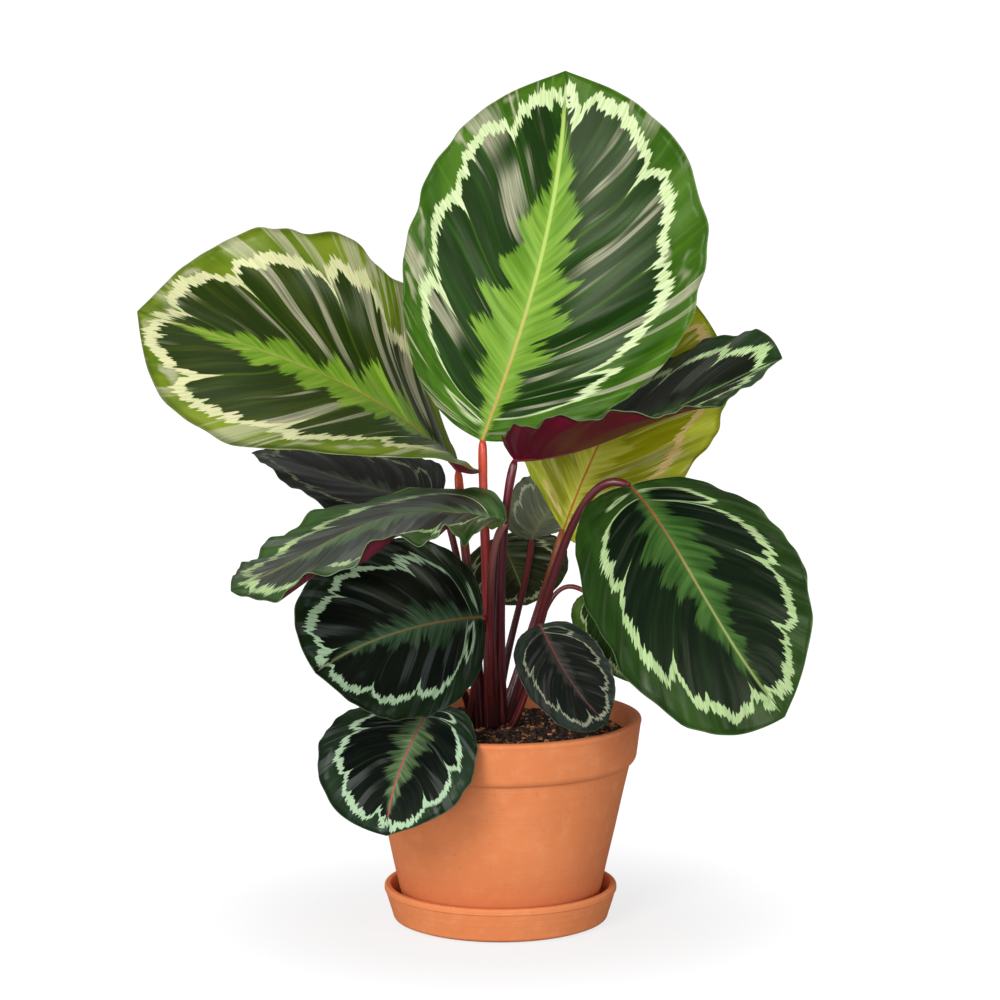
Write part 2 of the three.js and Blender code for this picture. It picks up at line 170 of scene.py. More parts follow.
LEAVES = {
    "a": Leaf(
        rib=((-10, -12, 277), (13, 5, 337), (36, 11, 404), (36, 11, 481)),
        face=((-0.4, -0.9, 0.2), (-0.21, -0.96, 0.16)), half=(86, 93), shape=(0.94, 1.01),
        lift=((2, -8, -12, -20), (24, -15, -10, -19)), wave=((1.5, 5, 0.1), (3, 6, 0.3)),
        stalk=((-5, 1), (-6, -11, 185), (-10, -14, 228)), root=4.8, neck=2.3,
        finish=LeafFinish(
            seed=1.0, ring_level=0.78, feather_reach=0.29, feather_soft=0.02, feather_fade=0.2,
            painted_sheen_share=0.8, gloss=0.15, painted_sheen=(186, 184, 154), margin=((42, 80, 8), (74, 116, 24)),
            dark=((14, 44, 2), (34, 74, 8)), ring=((184, 206, 142), (216, 228, 182)),
            feather=((92, 138, 30), (140, 178, 66)), midrib=((190, 160, 88), (176, 202, 104)),
            under=((80, 14, 38), (116, 32, 58)), stalk=((44, 8, 12), (150, 24, 28), (214, 74, 46)),
        ),
    ),
    "b": Leaf(
        rib=((-24, 22, 254), (-62, -9, 306), (-120, -33, 327), (-200, -36, 352)),
        face=((-0.03, -0.24, 0.97), (-0.14, -0.73, 0.66)), half=(87, 87), shape=(0.92, 0.98),
        lift=((13, 6, 7, 12, 4, -18), (31, -8, -7, 75, -19, 8)), wave=((1.5, 5, 0.6), (2.5, 6, 0.1)),
        stalk=((-11, 4), (-15, -6, 180), (-21, 2, 214)), root=4, neck=2.3,
        finish=LeafFinish(
            seed=2.0, ring_level=0.79, feather_reach=0.28, feather_soft=0.02, feather_fade=0.2,
            painted_sheen_share=0.7, gloss=0.25, painted_sheen=(196, 192, 160), margin=((86, 110, 14), (128, 146, 38)),
            dark=((32, 50, 4), (62, 76, 14)), ring=((196, 206, 146), (226, 218, 172)),
            feather=((104, 150, 26), (152, 186, 66)), midrib=((206, 128, 52), (150, 168, 70)),
            stalk=((40, 9, 13), (92, 24, 34), (196, 78, 48)),
        ),
    ),
    "c": Leaf(
        rib=((8, -10, 265), (57, -34, 269), (102, -38, 304), (154, -58, 329)),
        face=((-0.1, -0.13, 0.99), (0.09, -0.33, 0.94)), half=(64, 65), shape=(1.02, 0.81),
        lift=((23, 11, 10, 11, 29, -20), (47, 35, 13, 42, 14, -17)), wave=((2, 6, 0.2), (2.5, 7, 0.5)),
        stalk=((1, 8), (-2, -4, 184), (1, -13, 241)), root=3.5, neck=2.3,
        finish=LeafFinish(
            seed=3.0, ring_level=0.72, gloss=0.22, margin=((24, 46, 18), (42, 70, 32)),
            dark=((8, 12, 5), (20, 28, 12)), ring=((160, 198, 128), (205, 226, 165)),
            feather=((26, 46, 20), (48, 70, 34)), midrib=((120, 60, 50), (110, 130, 80)),
            under=((104, 8, 36), (118, 18, 46)), stalk=((44, 10, 15), (92, 22, 34), (96, 22, 38)),
        ),
    ),
    "d": Leaf(
        rib=((36, 46, 216), (50, 32, 258), (71, 47, 304), (109, 64, 347)),
        face=((-0.33, -0.6, 0.73), (-0.03, -0.86, 0.51)), half=(64, 64), shape=(1, 0.87),
        lift=((-6, -3, 5, -5), (12, 11, 10, -5)), wave=((1.5, 5, 0.2), (2, 6, 0.4)),
        stalk=((1, 16), (17, 22, 158), (27, 36, 188)), root=3.6, neck=2.3,
        finish=LeafFinish(
            seed=4.0, painted_sheen_share=0.5, gloss=0.25, painted_sheen=(226, 224, 160),
            margin=((158, 170, 14), (196, 204, 62)), dark=((140, 144, 12), (176, 176, 34)),
            ring=((222, 190, 110), (232, 208, 146)), feather=((186, 192, 46), (214, 212, 100)),
            midrib=((196, 110, 42), (186, 140, 56)), under=((140, 110, 40), (160, 130, 60)),
            stalk=((50, 12, 16), (96, 24, 26), (158, 84, 36)),
        ),
    ),
    "e": Leaf(
        rib=((72, -26, 253), (98, -65, 231), (115, -84, 184), (156, -78, 133)),
        face=((0.31, -0.73, 0.61), (0.3, -0.88, 0.37)), half=(67, 67), shape=(1, 0.91),
        lift=((8, -8, -9, -6), (9, -5, 6, -10)), wave=((1.5, 5, 0.5), (2, 6, 0.2)),
        stalk=((4, 11), (25, -2, 167), (38, -22, 272)), root=3.6, neck=2.2,
        finish=LeafFinish(
            seed=5.0, lobes=5.0, ring_level=0.74, feather_reach=0.28, gloss=0.18, painted_sheen=(84, 92, 74),
            margin=((28, 54, 14), (48, 80, 28)), dark=((9, 25, 12), (20, 40, 18)),
            ring=((160, 192, 128), (190, 212, 156)), feather=((48, 86, 32), (84, 126, 58)),
            stalk=((38, 8, 12), (88, 18, 26), (84, 14, 26)),
        ),
    ),
    "f": Leaf(
        rib=((3, -43, 235), (-71, -52, 257), (-87, -88, 230), (-146, -103, 208)),
        face=((-0.02, -0.15, 0.99), (-0.33, -0.15, 0.93)), half=(68, 68), shape=(0.88, 0.92),
        lift=((30, -50, -2, 14, -20, 42), (40, -35, -25, 10, 10, -10)),
        wave=((5, 5.5, 0.1), (2.5, 6, 0.5)), stalk=((-5, 1), (-5, -14, 175), (-9, -32, 223)), root=3.1,
        neck=1.9,
        finish=LeafFinish(
            seed=6.0, painted_sheen_share=0.5, gloss=0.25, painted_sheen=(128, 132, 124),
            margin=((44, 74, 28), (74, 104, 56)), dark=((62, 68, 58), (84, 90, 80)),
            ring=((160, 192, 128), (205, 226, 165)), feather=((92, 120, 78), (120, 142, 104)),
            midrib=((150, 130, 86), (150, 122, 84)), under=((104, 22, 46), (128, 38, 66)),
            stalk=((38, 8, 12), (88, 18, 26), (150, 92, 84)),
        ),
    ),
    "g": Leaf(
        rib=((-10, -15, 177), (-53, -54, 182), (-88, -87, 171), (-100, -110, 164)),
        face=((-0.22, -0.94, 0.24), (0.08, -0.94, 0.32)), half=(49, 53), shape=(0.99, 0.79),
        lift=((3, -4, -3, -14), (9, 2, 5, -8)), wave=((1.2, 5, 0.3), (1.2, 5, 0.7)),
        stalk=((-17, 5), (-16, -2, 140), (-7, -4, 168)), root=2.6, neck=1.8,
        finish=LeafFinish(
            seed=7.0, lobes=5.0, ring_level=0.75, feather_reach=0.24, relief=0.25, painted_sheen=(110, 120, 118),
            margin=((12, 28, 12), (24, 44, 22)), dark=((5, 12, 8), (12, 22, 16)),
            ring=((150, 178, 144), (170, 202, 162)), feather=((30, 58, 32), (78, 106, 78)),
            midrib=((124, 96, 54), (110, 110, 70)),
        ),
    ),
    "h": Leaf(
        rib=((-39, -46, 131), (-50, -75, 118), (-62, -97, 96), (-62, -111, 74)),
        face=((-0.25, -0.76, 0.6), (-0.03, -1, 0.03)), half=(41, 47), shape=(0.99, 0.88),
        lift=((25, 0, 12, -6), (10, 2, 8, 0)), wave=((1.2, 5, 0.2), (1.2, 5, 0.6)),
        stalk=((-16, 11), (-20, 10, 140), (-33, -16, 152)), root=2.3, neck=1.7,
        finish=LeafFinish(
            seed=8.0, lobes=5.0, ring_level=0.74, feather_reach=0.26, painted_sheen_share=0.35, relief=0.25,
            painted_sheen=(118, 124, 120), margin=((20, 36, 22), (38, 56, 38)), dark=((9, 16, 13), (22, 32, 26)),
            ring=((158, 190, 150), (180, 206, 172)), feather=((56, 84, 50), (120, 146, 100)),
            midrib=((150, 70, 84), (176, 84, 92)),
        ),
    ),
    "i": Leaf(
        rib=((22, -31, 175), (32, -43, 157), (41, -55, 140), (59, -56, 125)),
        face=((0.17, -0.75, 0.64), (0.44, -0.82, 0.37)), half=(27, 28), shape=(1.03, 0.81),
        lift=((11, -4, 3, -8), (13, 0, 10, 1)), wave=((0.8, 5, 0.3), (0.8, 5, 0.1)),
        stalk=((6, 2), (18, -6, 135), (24, -14, 174)), root=2.3, neck=1.4,
        finish=LeafFinish(
            seed=9.0, lobes=5.0, ring_width=0.045, feather_reach=0.2, relief=0.14, painted_sheen=(120, 112, 112),
            margin=((34, 44, 38), (56, 66, 58)), dark=((26, 32, 28), (46, 50, 44)),
            ring=((150, 168, 132), (166, 160, 140)), feather=((48, 54, 48), (86, 74, 74)),
            midrib=((136, 72, 56), (120, 70, 62)),
        ),
    ),
    "j": Leaf(
        rib=((-34, 33, 237), (-69, 47, 233), (-103, 60, 250), (-143, 64, 258)),
        face=((0.03, -0.42, 0.91), (0.08, -0.12, 0.99)), half=(47, 48), shape=(1, 0.86),
        lift=((14, 3, 15, 0), (10, 0, -2, -6)), wave=((1.5, 5, 0.4), (1.2, 5, 0.1)),
        stalk=((-12, 19), (-16, 28, 170), (-26, 35, 212)), root=2.9, neck=1.9,
        finish=LeafFinish(
            seed=10.0, ring_width=0.045, feather_reach=0.2, relief=0.14, gloss=0.18, painted_sheen=(104, 108, 98),
            margin=((16, 22, 12), (28, 36, 22)), dark=((13, 15, 10), (30, 32, 24)),
            ring=((116, 128, 94), (132, 140, 110)), feather=((44, 52, 40), (84, 92, 76)),
            midrib=((108, 100, 76), (108, 110, 84)),
        ),
    ),
    "k": Leaf(
        rib=((18, 54, 209), (22, 70, 219), (38, 84, 228), (46, 98, 245)),
        face=((-0.33, -0.85, 0.4), (-0.29, -0.86, 0.42)), half=(27, 27), shape=(0.97, 0.87),
        lift=((14, 3, 6, -4), (16, 2, 5, -5)), wave=((1, 5, 0.4), (1, 5, 0.1)),
        stalk=((-2, 22), (2, 26, 153), (15, 38, 180)), root=2.6, neck=1.7,
        finish=LeafFinish(
            # k's pale grey-green is partly its own colour and partly a painted reflection of the lights.
            seed=11.0, relief=0.14, gloss=0.25, margin=((74, 84, 62), (104, 112, 86)),
            dark=((86, 92, 72), (116, 120, 98)), ring=((170, 178, 148), (160, 166, 142)),
            feather=((88, 96, 70), (130, 136, 104)), midrib=((136, 120, 76), (120, 120, 92)),
        ),
    ),
    "l": Leaf(
        rib=((0, 66, 209), (5, 62, 196), (12, 56, 184), (15, 48, 172)),
        face=((0.07, -0.9, 0.42), (0.08, -0.99, 0.12)), half=(32, 32), shape=(0.99, 0.86),
        lift=((4, -1, 10, -4), (6, 0, 12, -2)), wave=((1, 5, 0.4), (1, 5, 0.1)),
        stalk=((-5, 26), (-4, 38, 170), (-5, 60, 214)), root=2.4, neck=1.5,
        finish=LeafFinish(
            seed=12.0, relief=0.14, margin=((54, 68, 38), (82, 94, 56)),
            dark=((42, 50, 28), (70, 78, 46)), ring=((138, 152, 116), (205, 226, 165)),
            feather=((62, 76, 44), (100, 112, 72)),
        ),
    ),
    "m": Leaf(
        rib=((49, 27, 183), (63, 12, 175), (78, 8, 159), (77, 2, 135)),
        face=((0.21, -0.81, 0.55), (0.13, -0.98, 0.11)), half=(26, 26), shape=(1.01, 0.84),
        lift=((5, 0, 5, -5), (12, 3, 7, -4)), wave=((1, 5, 0.4), (1, 5, 0.1)),
        stalk=((7, 19), (20, 20, 153), (25, 32, 200)), root=2.1, neck=1.3,
        finish=LeafFinish(
            seed=13.0, relief=0.14, margin=((66, 98, 26), (98, 130, 48)),
            dark=((30, 54, 20), (54, 76, 34)), ring=((186, 204, 150), (205, 226, 165)),
            feather=((96, 132, 52), (150, 170, 110)), stalk=((38, 8, 12), (104, 32, 36), (150, 60, 56)),
        ),
    ),
}

# ---- curves and meshes ----------------------------------------------------------------------
def unit(vectors: np.ndarray) -> np.ndarray:
    """Scales vectors to length one.

    Args:
        vectors: Vectors along the last axis.

    Returns:
        The same vectors with length one.
    """
    return vectors / np.maximum(np.linalg.norm(vectors, axis=-1, keepdims=True), 1e-12)


class Curve:
    """A cubic curve that can be walked at an even pace."""

    def __init__(self, points: np.ndarray):
        self.points = points
        self.parameter = np.linspace(0, 1, 400)
        steps = np.linalg.norm(np.diff(self.at(self.parameter), axis=0), axis=1)
        self.distance = np.concatenate([[0.0], np.cumsum(steps)])

    def even(self, share: np.ndarray) -> np.ndarray:
        """Turns shares of the length into parameters.

        Args:
            share: Shares from 0 to 1.

        Returns:
            The parameters that reach them.
        """
        return np.interp(share * self.distance[-1], self.distance, self.parameter)

    def at(self, t: np.ndarray) -> np.ndarray:
        """Points of the curve.

        Args:
            t: Parameters from 0 to 1, of any shape.

        Returns:
            One point per parameter.
        """
        a, b, c, d = self.points
        t = t[..., None]
        rest = 1 - t
        return rest**3 * a + 3 * rest**2 * t * b + 3 * rest * t**2 * c + t**3 * d

    def tangent(self, t: np.ndarray) -> np.ndarray:
        """Directions of the curve.

        Args:
            t: Parameters from 0 to 1, of any shape.

        Returns:
            One unit vector per parameter.
        """
        a, b, c, d = self.points
        t = t[..., None]
        rest = 1 - t
        return unit(rest**2 * (b - a) + 2 * rest * t * (c - b) + t**2 * (d - c))


def add_object(name: str, data: bpy.types.ID) -> bpy.types.Object:
    """Adds an object to the scene.

    Args:
        name: Its name.
        data: Its mesh, camera or light.

    Returns:
        The new object.
    """
    obj = bpy.data.objects.new(name, data)
    bpy.context.collection.objects.link(obj)
    return obj


def add_mesh(
    name: str, points: list, faces: list, maps: dict[str, list] | None = None, smooth: bool = True
) -> bpy.types.Object:
    """Adds a mesh object.

    Args:
        name: Its name.
        points: Vertices in metres.
        faces: Vertex numbers of each face.
        maps: For each map's name, the faces' pairs of coordinates.
        smooth: Whether its faces are shaded smoothly.

    Returns:
        The new object.
    """
    mesh = bpy.data.meshes.new(name)
    mesh.from_pydata(points, [], faces)
    for label, values in (maps or {}).items():
        layer = mesh.uv_layers.new(name=label)
        layer.data.foreach_set("uv", np.array([pair for face in values for pair in face], np.float32).ravel())
    mesh.polygons.foreach_set("use_smooth", [smooth] * len(faces))
    mesh.update()
    return add_object(name, mesh)


# ---- blades ---------------------------------------------------------------------------------
def keyed(values: tuple, u: np.ndarray) -> np.ndarray:
    """Blends values keyed at two or three places along a leaf.

    Args:
        values: Two values (base, tip) or three (base, middle, tip).
        u: Shares of the leaf's length.

    Returns:
        The blended values.
    """
    if len(values) == 2:
        return values[0] * (1 - u) + values[1] * u
    base, middle, tip = values
    return base * (1 - u) * (1 - 2 * u) + middle * 4 * u * (1 - u) + tip * u * (2 * u - 1)


class Blade:
    """The curved surface of one leaf.

    A point on it has a station, from 0 at the base to 1 at the tip, and a share, from -1 at one margin
    to 1 at the other. Lines of one station follow a side vein.
    """

    def __init__(self, leaf: Leaf, rows: int, side_steps: int):
        self.leaf = leaf
        self.rows = rows
        self.side_steps = side_steps
        self.rib = Curve(np.array(leaf.rib, float))

    def outline(self, station: np.ndarray) -> tuple[np.ndarray, np.ndarray]:
        """Where the margin runs.

        Args:
            station: Stations from base to tip.

        Returns:
            How far along the leaf the margin is, and its distance from the midrib, as shares.
        """
        turn = np.pi * station
        edge = ((1 - np.cos(turn)) / 2) ** self.leaf.shape[0]
        edge = edge * (1 - TIP_POINT) + TIP_POINT * station**TIP_POWER
        return edge, np.abs(np.sin(turn)) ** self.leaf.shape[1]

    def surface(self, station: np.ndarray, share: np.ndarray) -> tuple[np.ndarray, np.ndarray]:
        """Points of the blade's middle surface.

        Args:
            station: Stations.
            share: Shares.

        Returns:
            Points in millimetres, and their place within the outline.
        """
        leaf = self.leaf
        plus = share >= 0
        side = np.where(plus, 1.0, -1.0)
        reach = np.abs(share)
        rest = 1 - reach
        width = np.where(plus, leaf.half[1], leaf.half[0])
        edge, blunt = self.outline(station)
        start = 1 - (1 - edge ** VEIN_SWEEP[0]) ** VEIN_SWEEP[1]
        bend = start + VEIN_BEND_ALONG * (edge - start)
        across = width * blunt * (2 * rest * reach * VEIN_BEND_ACROSS + reach**2)
        seed, turn = leaf.finish.seed, 2 * np.pi * station
        large, small = (count * turn for count in WOBBLE_COUNTS)
        wobble = np.sin(large + 5 * seed) + 0.7 * np.sin(small + side + seed)
        across = across * (1 + RAGGED * wobble * blunt * reach**4)
        along = rest**2 * start + 2 * rest * reach * bend + reach**2 * edge
        t = self.rib.even(along)
        forward = self.rib.tangent(t)
        facing = keyed(np.array(leaf.face, float), along[..., None])
        sideways = unit(np.cross(forward, facing))
        up = np.cross(sideways, forward)

        at_rib, at_edge = (
            np.radians(np.where(plus, keyed(leaf.lift[1][k::2], along), keyed(leaf.lift[0][k::2], along)))
            for k in (0, 1)
        )
        curl = (at_edge - at_rib) / width
        curl = np.where(np.abs(curl) < 1e-6, 1e-6, curl)
        out = (np.sin(at_rib + curl * across) - np.sin(at_rib)) / curl
        rise = -(np.cos(at_rib + curl * across) - np.cos(at_rib)) / curl
        rise = rise + self.waves(station, share, blunt)
        points = self.rib.at(t) + (side * out)[..., None] * sideways + rise[..., None] * up
        return points, self.placed(along, across / width, reach)

    def placed(self, along: np.ndarray, out: np.ndarray, reach: np.ndarray) -> np.ndarray:
        """Where points lie within the leaf's outline.

        Args:
            along: How far along the midrib, 0 to 1.
            out: How far from it, as a share of the half width.
            reach: How far along a side vein, 0 to 1.

        Returns:
            Pairs: how far along, and how far from the midrib towards the margin at that spot.
        """
        narrow = 0.03
        edge, width = self.outline(np.linspace(0, 1, 600))
        here = np.interp(along, edge, width)
        toward = np.where(here > narrow, out / np.maximum(here, narrow), reach)
        return np.stack([along, np.clip(toward, 0, 1)], axis=-1)

    def waves(self, station: np.ndarray, share: np.ndarray, blunt: np.ndarray) -> np.ndarray:
        """Height of the margin's waves and of the folds between the side veins.

        Args:
            station: Stations.
            share: Shares.
            blunt: The leaf's width at each station, as a share.

        Returns:
            Heights in millimetres.
        """
        leaf = self.leaf
        reach = np.abs(share)
        turn = 2 * np.pi
        rise = np.zeros_like(station)
        for half, here in ((0, share < 0), (1, share >= 0)):
            height, count, phase = leaf.wave[half]
            ripple = height * np.sin(turn * (count * station + phase)) * blunt * reach**3
            low, more, late = SMALL_WAVES
            small = low * height * np.sin(turn * (more * count * station + late * phase)) * reach**5 * blunt
            lane = leaf.finish.lobes * station + half * LANE_SHIFT
            depth = CORRUGATION * leaf.half[half] * blunt * reach**0.6 * (1.15 - reach)
            fold = depth * (0.8 * np.cos(turn * lane) + 0.35 * np.cos(2 * turn * lane + 1.3))
            rise = np.where(here, ripple + small - fold, rise)
        return rise

    def build(self, name: str) -> bpy.types.Object:
        """Makes the blade as one closed mesh with its maps.

        Args:
            name: The object's name.

        Returns:
            The new object; its upper faces use slot 0 and its lower faces slot 1.
        """
        line = np.linspace(-1, 1, 2 * self.side_steps + 1)
        shares = np.sign(line) * np.abs(line) ** CROWDING
        station, share = np.meshgrid(np.linspace(0, 1, self.rows + 1), shares, indexing="ij")
        middle, place = self.surface(station, share)
        for end in (0, -1):
            middle[end, :] = middle[end, self.side_steps]
        normal = np.cross(np.gradient(middle, axis=1), np.gradient(middle, axis=0))
        normal[0, :] = normal[1, :].mean(0)
        normal[-1, :] = normal[-2, :].mean(0)
        normal = unit(normal)
        half = BLADE_THICKNESS / 2
        width = np.where(share < 0, self.leaf.half[0], self.leaf.half[1])
        away = np.abs(share) * width * np.abs(np.sin(np.pi * station))
        scale = width.max() / LARGE_LEAF
        ridge = np.exp(-((away / (RIB_WIDTH * scale)) ** 2)) * RIB_DEPTH * scale * (1 - RIB_TAPER * station)
        top = middle + normal * (half - RIB_ON_TOP * ridge[..., None])
        bottom = middle - normal * (half + ridge[..., None])
        return closed_sheet(name, top, bottom, (station, share), place)


def closed_sheet(
    name: str, top: np.ndarray, bottom: np.ndarray, grid: tuple[np.ndarray, np.ndarray], place: np.ndarray
) -> bpy.types.Object:
    """Joins an upper and a lower grid whose first and last rows are single points.

    Args:
        name: The object's name.
        top: Upper points by row and column.
        bottom: Lower points by row and column.
        grid: Each point's station and share.
        place: Each point's place within the outline.

    Returns:
        The new object.
    """
    station, share = grid
    rows, columns = station.shape
    last = rows - 1
    index = np.zeros((rows, columns), int)
    index[1:last] = 1 + np.arange((rows - 2) * columns).reshape(rows - 2, columns)
    index[last] = 1 + (rows - 2) * columns
    count = int(index[last, 0]) + 1
    faces, leaf_map, place_map, slots = [], [], [], []

    def add(corners: list[tuple[int, int]], below: tuple[bool, ...], slot: int) -> None:
        faces.append([int(index[c]) + count * low for c, low in zip(corners, below)])
        leaf_map.append([(station[c], 0.5 + 0.5 * share[c]) for c in corners])
        place_map.append([tuple(place[c]) for c in corners])
        slots.append(slot)

    for row in range(last):
        for column in range(columns - 1):
            corners = [(row, column), (row, column + 1), (row + 1, column + 1), (row + 1, column)]
            if row == 0:
                corners = corners[1:]
            elif row == last - 1:
                corners = corners[:3]
            add(corners, (False,) * 4, 0)
            add(corners[::-1], (True,) * 4, 1)
        for column, step in ((0, -1), (columns - 1, 1)):
            corners = [(row + 1, column), (row + 1, column), (row, column), (row, column)]
            add(corners[::step], (False, True, True, False), 0)

    def flat(points: np.ndarray) -> np.ndarray:
        return np.concatenate([points[0, :1], points[1:last].reshape(-1, 3), points[-1, :1]])

    points = np.concatenate([flat(top), flat(bottom)]) * MM
    obj = add_mesh(name, points.tolist(), faces, {LEAF_MAP: leaf_map, PLACE_MAP: place_map})
    obj.data.polygons.foreach_set("material_index", slots)
    return obj


# ---- stalks ---------------------------------------------------------------------------------
def soil_height(x: float, y: float) -> float:
    """Height of the soil's surface before its crumbs.

    Args:
        x: Place along X, in millimetres.
        y: Place along Y, in millimetres.

    Returns:
        The height in millimetres.
    """
    away = math.hypot(x - CROWN[0], y - CROWN[1])
    return SOIL_EDGE_Z + SOIL_MOUND * math.exp(-((away / SOIL_MOUND_SPREAD) ** 2))


def build_stalk(name: str, leaf: Leaf, rings: int = 56, sides: int = 24) -> bpy.types.Object:
    """Makes a leaf's stalk, thick at its foot and a little swollen below the blade.

    Args:
        name: The object's name.
        leaf: The leaf it carries.
        rings: Steps along it.
        sides: Steps round it.

    Returns:
        The new object.
    """
    foot = (*leaf.stalk[0], soil_height(*leaf.stalk[0]) - STALK_SINK)
    curve = Curve(np.array([foot, leaf.stalk[1], leaf.stalk[2], leaf.rib[0]], float))
    u = np.linspace(0, 1, rings + 1)
    t = curve.even(u)
    centre, forward = curve.at(t), curve.tangent(t)
    swelling = SWELLING[0] * np.exp(-(((u - SWELLING[1]) / SWELLING[2]) ** 2))
    closing = CLOSING[0] * np.maximum(0.0, (u - CLOSING[1]) / (1 - CLOSING[1])) ** 2
    radius = leaf.neck + (leaf.root - leaf.neck) * (1 - u) ** STALK_TAPER
    radius = radius * (1 + swelling) * (1 - closing)
    around = 2 * np.pi * np.arange(sides) / sides
    across = np.array([1.0, 0.0, 0.0])
    grid = []
    for ring in range(rings + 1):
        across = unit(across - forward[ring] * np.dot(across, forward[ring]))
        other = np.cross(forward[ring], across)
        groove = 1 - GROOVE_DEPTH * (1 - u[ring]) * np.cos(GROOVES * around + leaf.finish.seed) ** 2
        spoke = np.cos(around)[:, None] * across + np.sin(around)[:, None] * other
        grid.append(centre[ring] + radius[ring] * groove[:, None] * spoke)
    points = np.concatenate([*grid, centre[:1], centre[-1:]]) * MM
    faces, places = [], []
    low, high = (rings + 1) * sides, (rings + 1) * sides + 1
    strips = [(k, (k + 1) % sides, k / sides, (k + 1) / sides) for k in range(sides)]
    for ring in range(rings):
        a, b = ring * sides, (ring + 1) * sides
        for k, after, v, v_after in strips:
            faces.append([a + k, a + after, b + after, b + k])
            places.append([(u[ring], v), (u[ring], v_after), (u[ring + 1], v_after), (u[ring + 1], v)])
    for k, after, v, v_after in strips:
        faces += [[low, after, k], [high, rings * sides + k, rings * sides + after]]
        places += [[(0, 0.5), (0, v_after), (0, v)], [(1, 0.5), (1, v), (1, v_after)]]
    return add_mesh(name, points.tolist(), faces, {STALK_MAP: places})


# ---- pottery and soil -----------------------------------------------------------------------
def rounded(profile: Profile, radius: float, steps: int = 5) -> Profile:
    """Rounds the inner corners of a profile.

    Args:
        profile: The profile; its first and last points stay where they are.
        radius: Longest setback from a corner.
        steps: Points that replace each corner.

    Returns:
        The rounded profile.
    """
    made = [profile[0]]
    for before, here, after in zip(profile, profile[1:], profile[2:]):
        a, b, c = (np.array(p, float) for p in (before, here, after))
        to_a, to_c = a - b, c - b
        back = min(radius, 0.45 * np.linalg.norm(to_a), 0.45 * np.linalg.norm(to_c))
        start, end = b + unit(to_a) * back, b + unit(to_c) * back
        for s in (k / steps for k in range(steps + 1)):
            made.append(tuple((1 - s) ** 2 * start + 2 * s * (1 - s) * b + s**2 * end))
    made.append(profile[-1])
    return made


def subdivided(profile: Profile, longest: float) -> Profile:
    """Splits the long steps of a profile.

    Args:
        profile: The profile.
        longest: Longest step left.

    Returns:
        The finer profile.
    """
    made = [profile[0]]
    for (r0, z0), (r1, z1) in zip(profile, profile[1:]):
        count = max(1, math.ceil(math.dist((r0, z0), (r1, z1)) / longest))
        made += [(r0 + (r1 - r0) * k / count, z0 + (z1 - z0) * k / count) for k in range(1, count + 1)]
    return made


def turned(
    name: str, corners: Profile, radius: float, longest: float, wobble: float, sides: int = 160
) -> bpy.types.Object:
    """Turns a profile round the Z axis into a closed mesh.

    Args:
        name: The object's name.
        corners: The profile, from the axis or a hole, round and back.
        radius: How far its corners are rounded.
        longest: Longest step along it.
        wobble: Height of the slight unevenness of hand-thrown clay, in millimetres.
        sides: Steps round.

    Returns:
        The new object.
    """
    profile = rounded(subdivided(rounded(corners, radius), longest), 0.3, 2)
    closed = profile[0] == profile[-1]
    vertices, rings = [], []
    for r, z in profile[:-1] if closed else profile:
        if r == 0:
            rings.append([len(vertices)])
            vertices.append((0.0, 0.0, z * MM))
            continue
        rings.append(range(len(vertices), len(vertices) + sides))
        for turn in (2 * math.pi * k / sides for k in range(sides)):
            here = (r + wobble * math.sin(3 * turn + z * 0.05) * math.sin(z * 0.11 + 1.0)) * MM
            vertices.append((here * math.cos(turn), here * math.sin(turn), z * MM))
    faces = []
    for a, b in zip(rings, rings[1:] + rings[:1] if closed else rings[1:]):
        for k in range(sides):
            n = (k + 1) % sides
            if len(a) == 1:
                faces.append((a[0], b[n], b[k]))
            elif len(b) == 1:
                faces.append((a[k], a[n], b[0]))
            else:
                faces.append((a[k], a[n], b[n], b[k]))
    return add_mesh(name, vertices, faces)


def build_soil(rings: int = 60, sides: int = 160) -> bpy.types.Object:
    """Makes the soil, lumpy on top.

    Args:
        rings: Steps from the pot's wall to the middle.
        sides: Steps round.

    Returns:
        The new object.
    """
    rng = np.random.default_rng(SOIL_SEED)
    phases = rng.uniform(0, 2 * np.pi, (SOIL_WAVES, 3))[:, 0]
    waves = rng.normal(0, SOIL_WAVE_PITCH, (SOIL_WAVES, 2))
    radii = [SOIL_FOOT_RADIUS] + [SOIL_RADIUS * k / rings for k in range(rings, 0, -1)]
    vertices = [(0.0, 0.0, SOIL_FOOT_Z)]
    for row, r in enumerate(radii):
        for turn in (2 * math.pi * k / sides for k in range(sides)):
            x, y = r * math.cos(turn), r * math.sin(turn)
            height = SOIL_FOOT_Z
            if row > 0:
                height = soil_height(x, y) - SOIL_SINK + rng.normal(0, SOIL_GRAIN)
                for (wx, wy), phase in zip(waves, phases):
                    height += SOIL_WAVE_HEIGHT * math.sin(2 * wx * x + 2 * wy * y + phase)
            vertices.append((x, y, height))
    top = len(vertices)
    vertices.append((0.0, 0.0, soil_height(0.0, 0.0)))
    faces = []
    rim = top - sides
    for k in range(sides):
        n = (k + 1) % sides
        faces.append((0, 1 + n, 1 + k))
        for a in range(1, rim, sides):
            faces.append((a + k, a + n, a + sides + n, a + sides + k))
        faces.append((rim + k, rim + n, top))
    return add_mesh("soil_bed", (np.array(vertices) * MM).tolist(), faces, smooth=False)


# ---- node graphs ----------------------------------------------------------------------------
def colour(screen: Triple) -> tuple[float, float, float, float]:
    """Turns a screen colour into the linear one that shaders use.

    Args:
        screen: Red, green and blue from 0 to 255.

    Returns:
        Linear red, green, blue and an alpha of one.
    """
    shares = (value / 255 for value in screen)
    linear = [s / 12.92 if s <= 0.04045 else ((s + 0.055) / 1.055) ** 2.4 for s in shares]
    return (*linear, 1.0)


def tints(pair: Pair) -> tuple:
    """Turns a pair of screen colours into linear ones.

    Args:
        pair: The two colours.

    Returns:
        The two linear colours.
    """
    return colour(pair[0]), colour(pair[1])


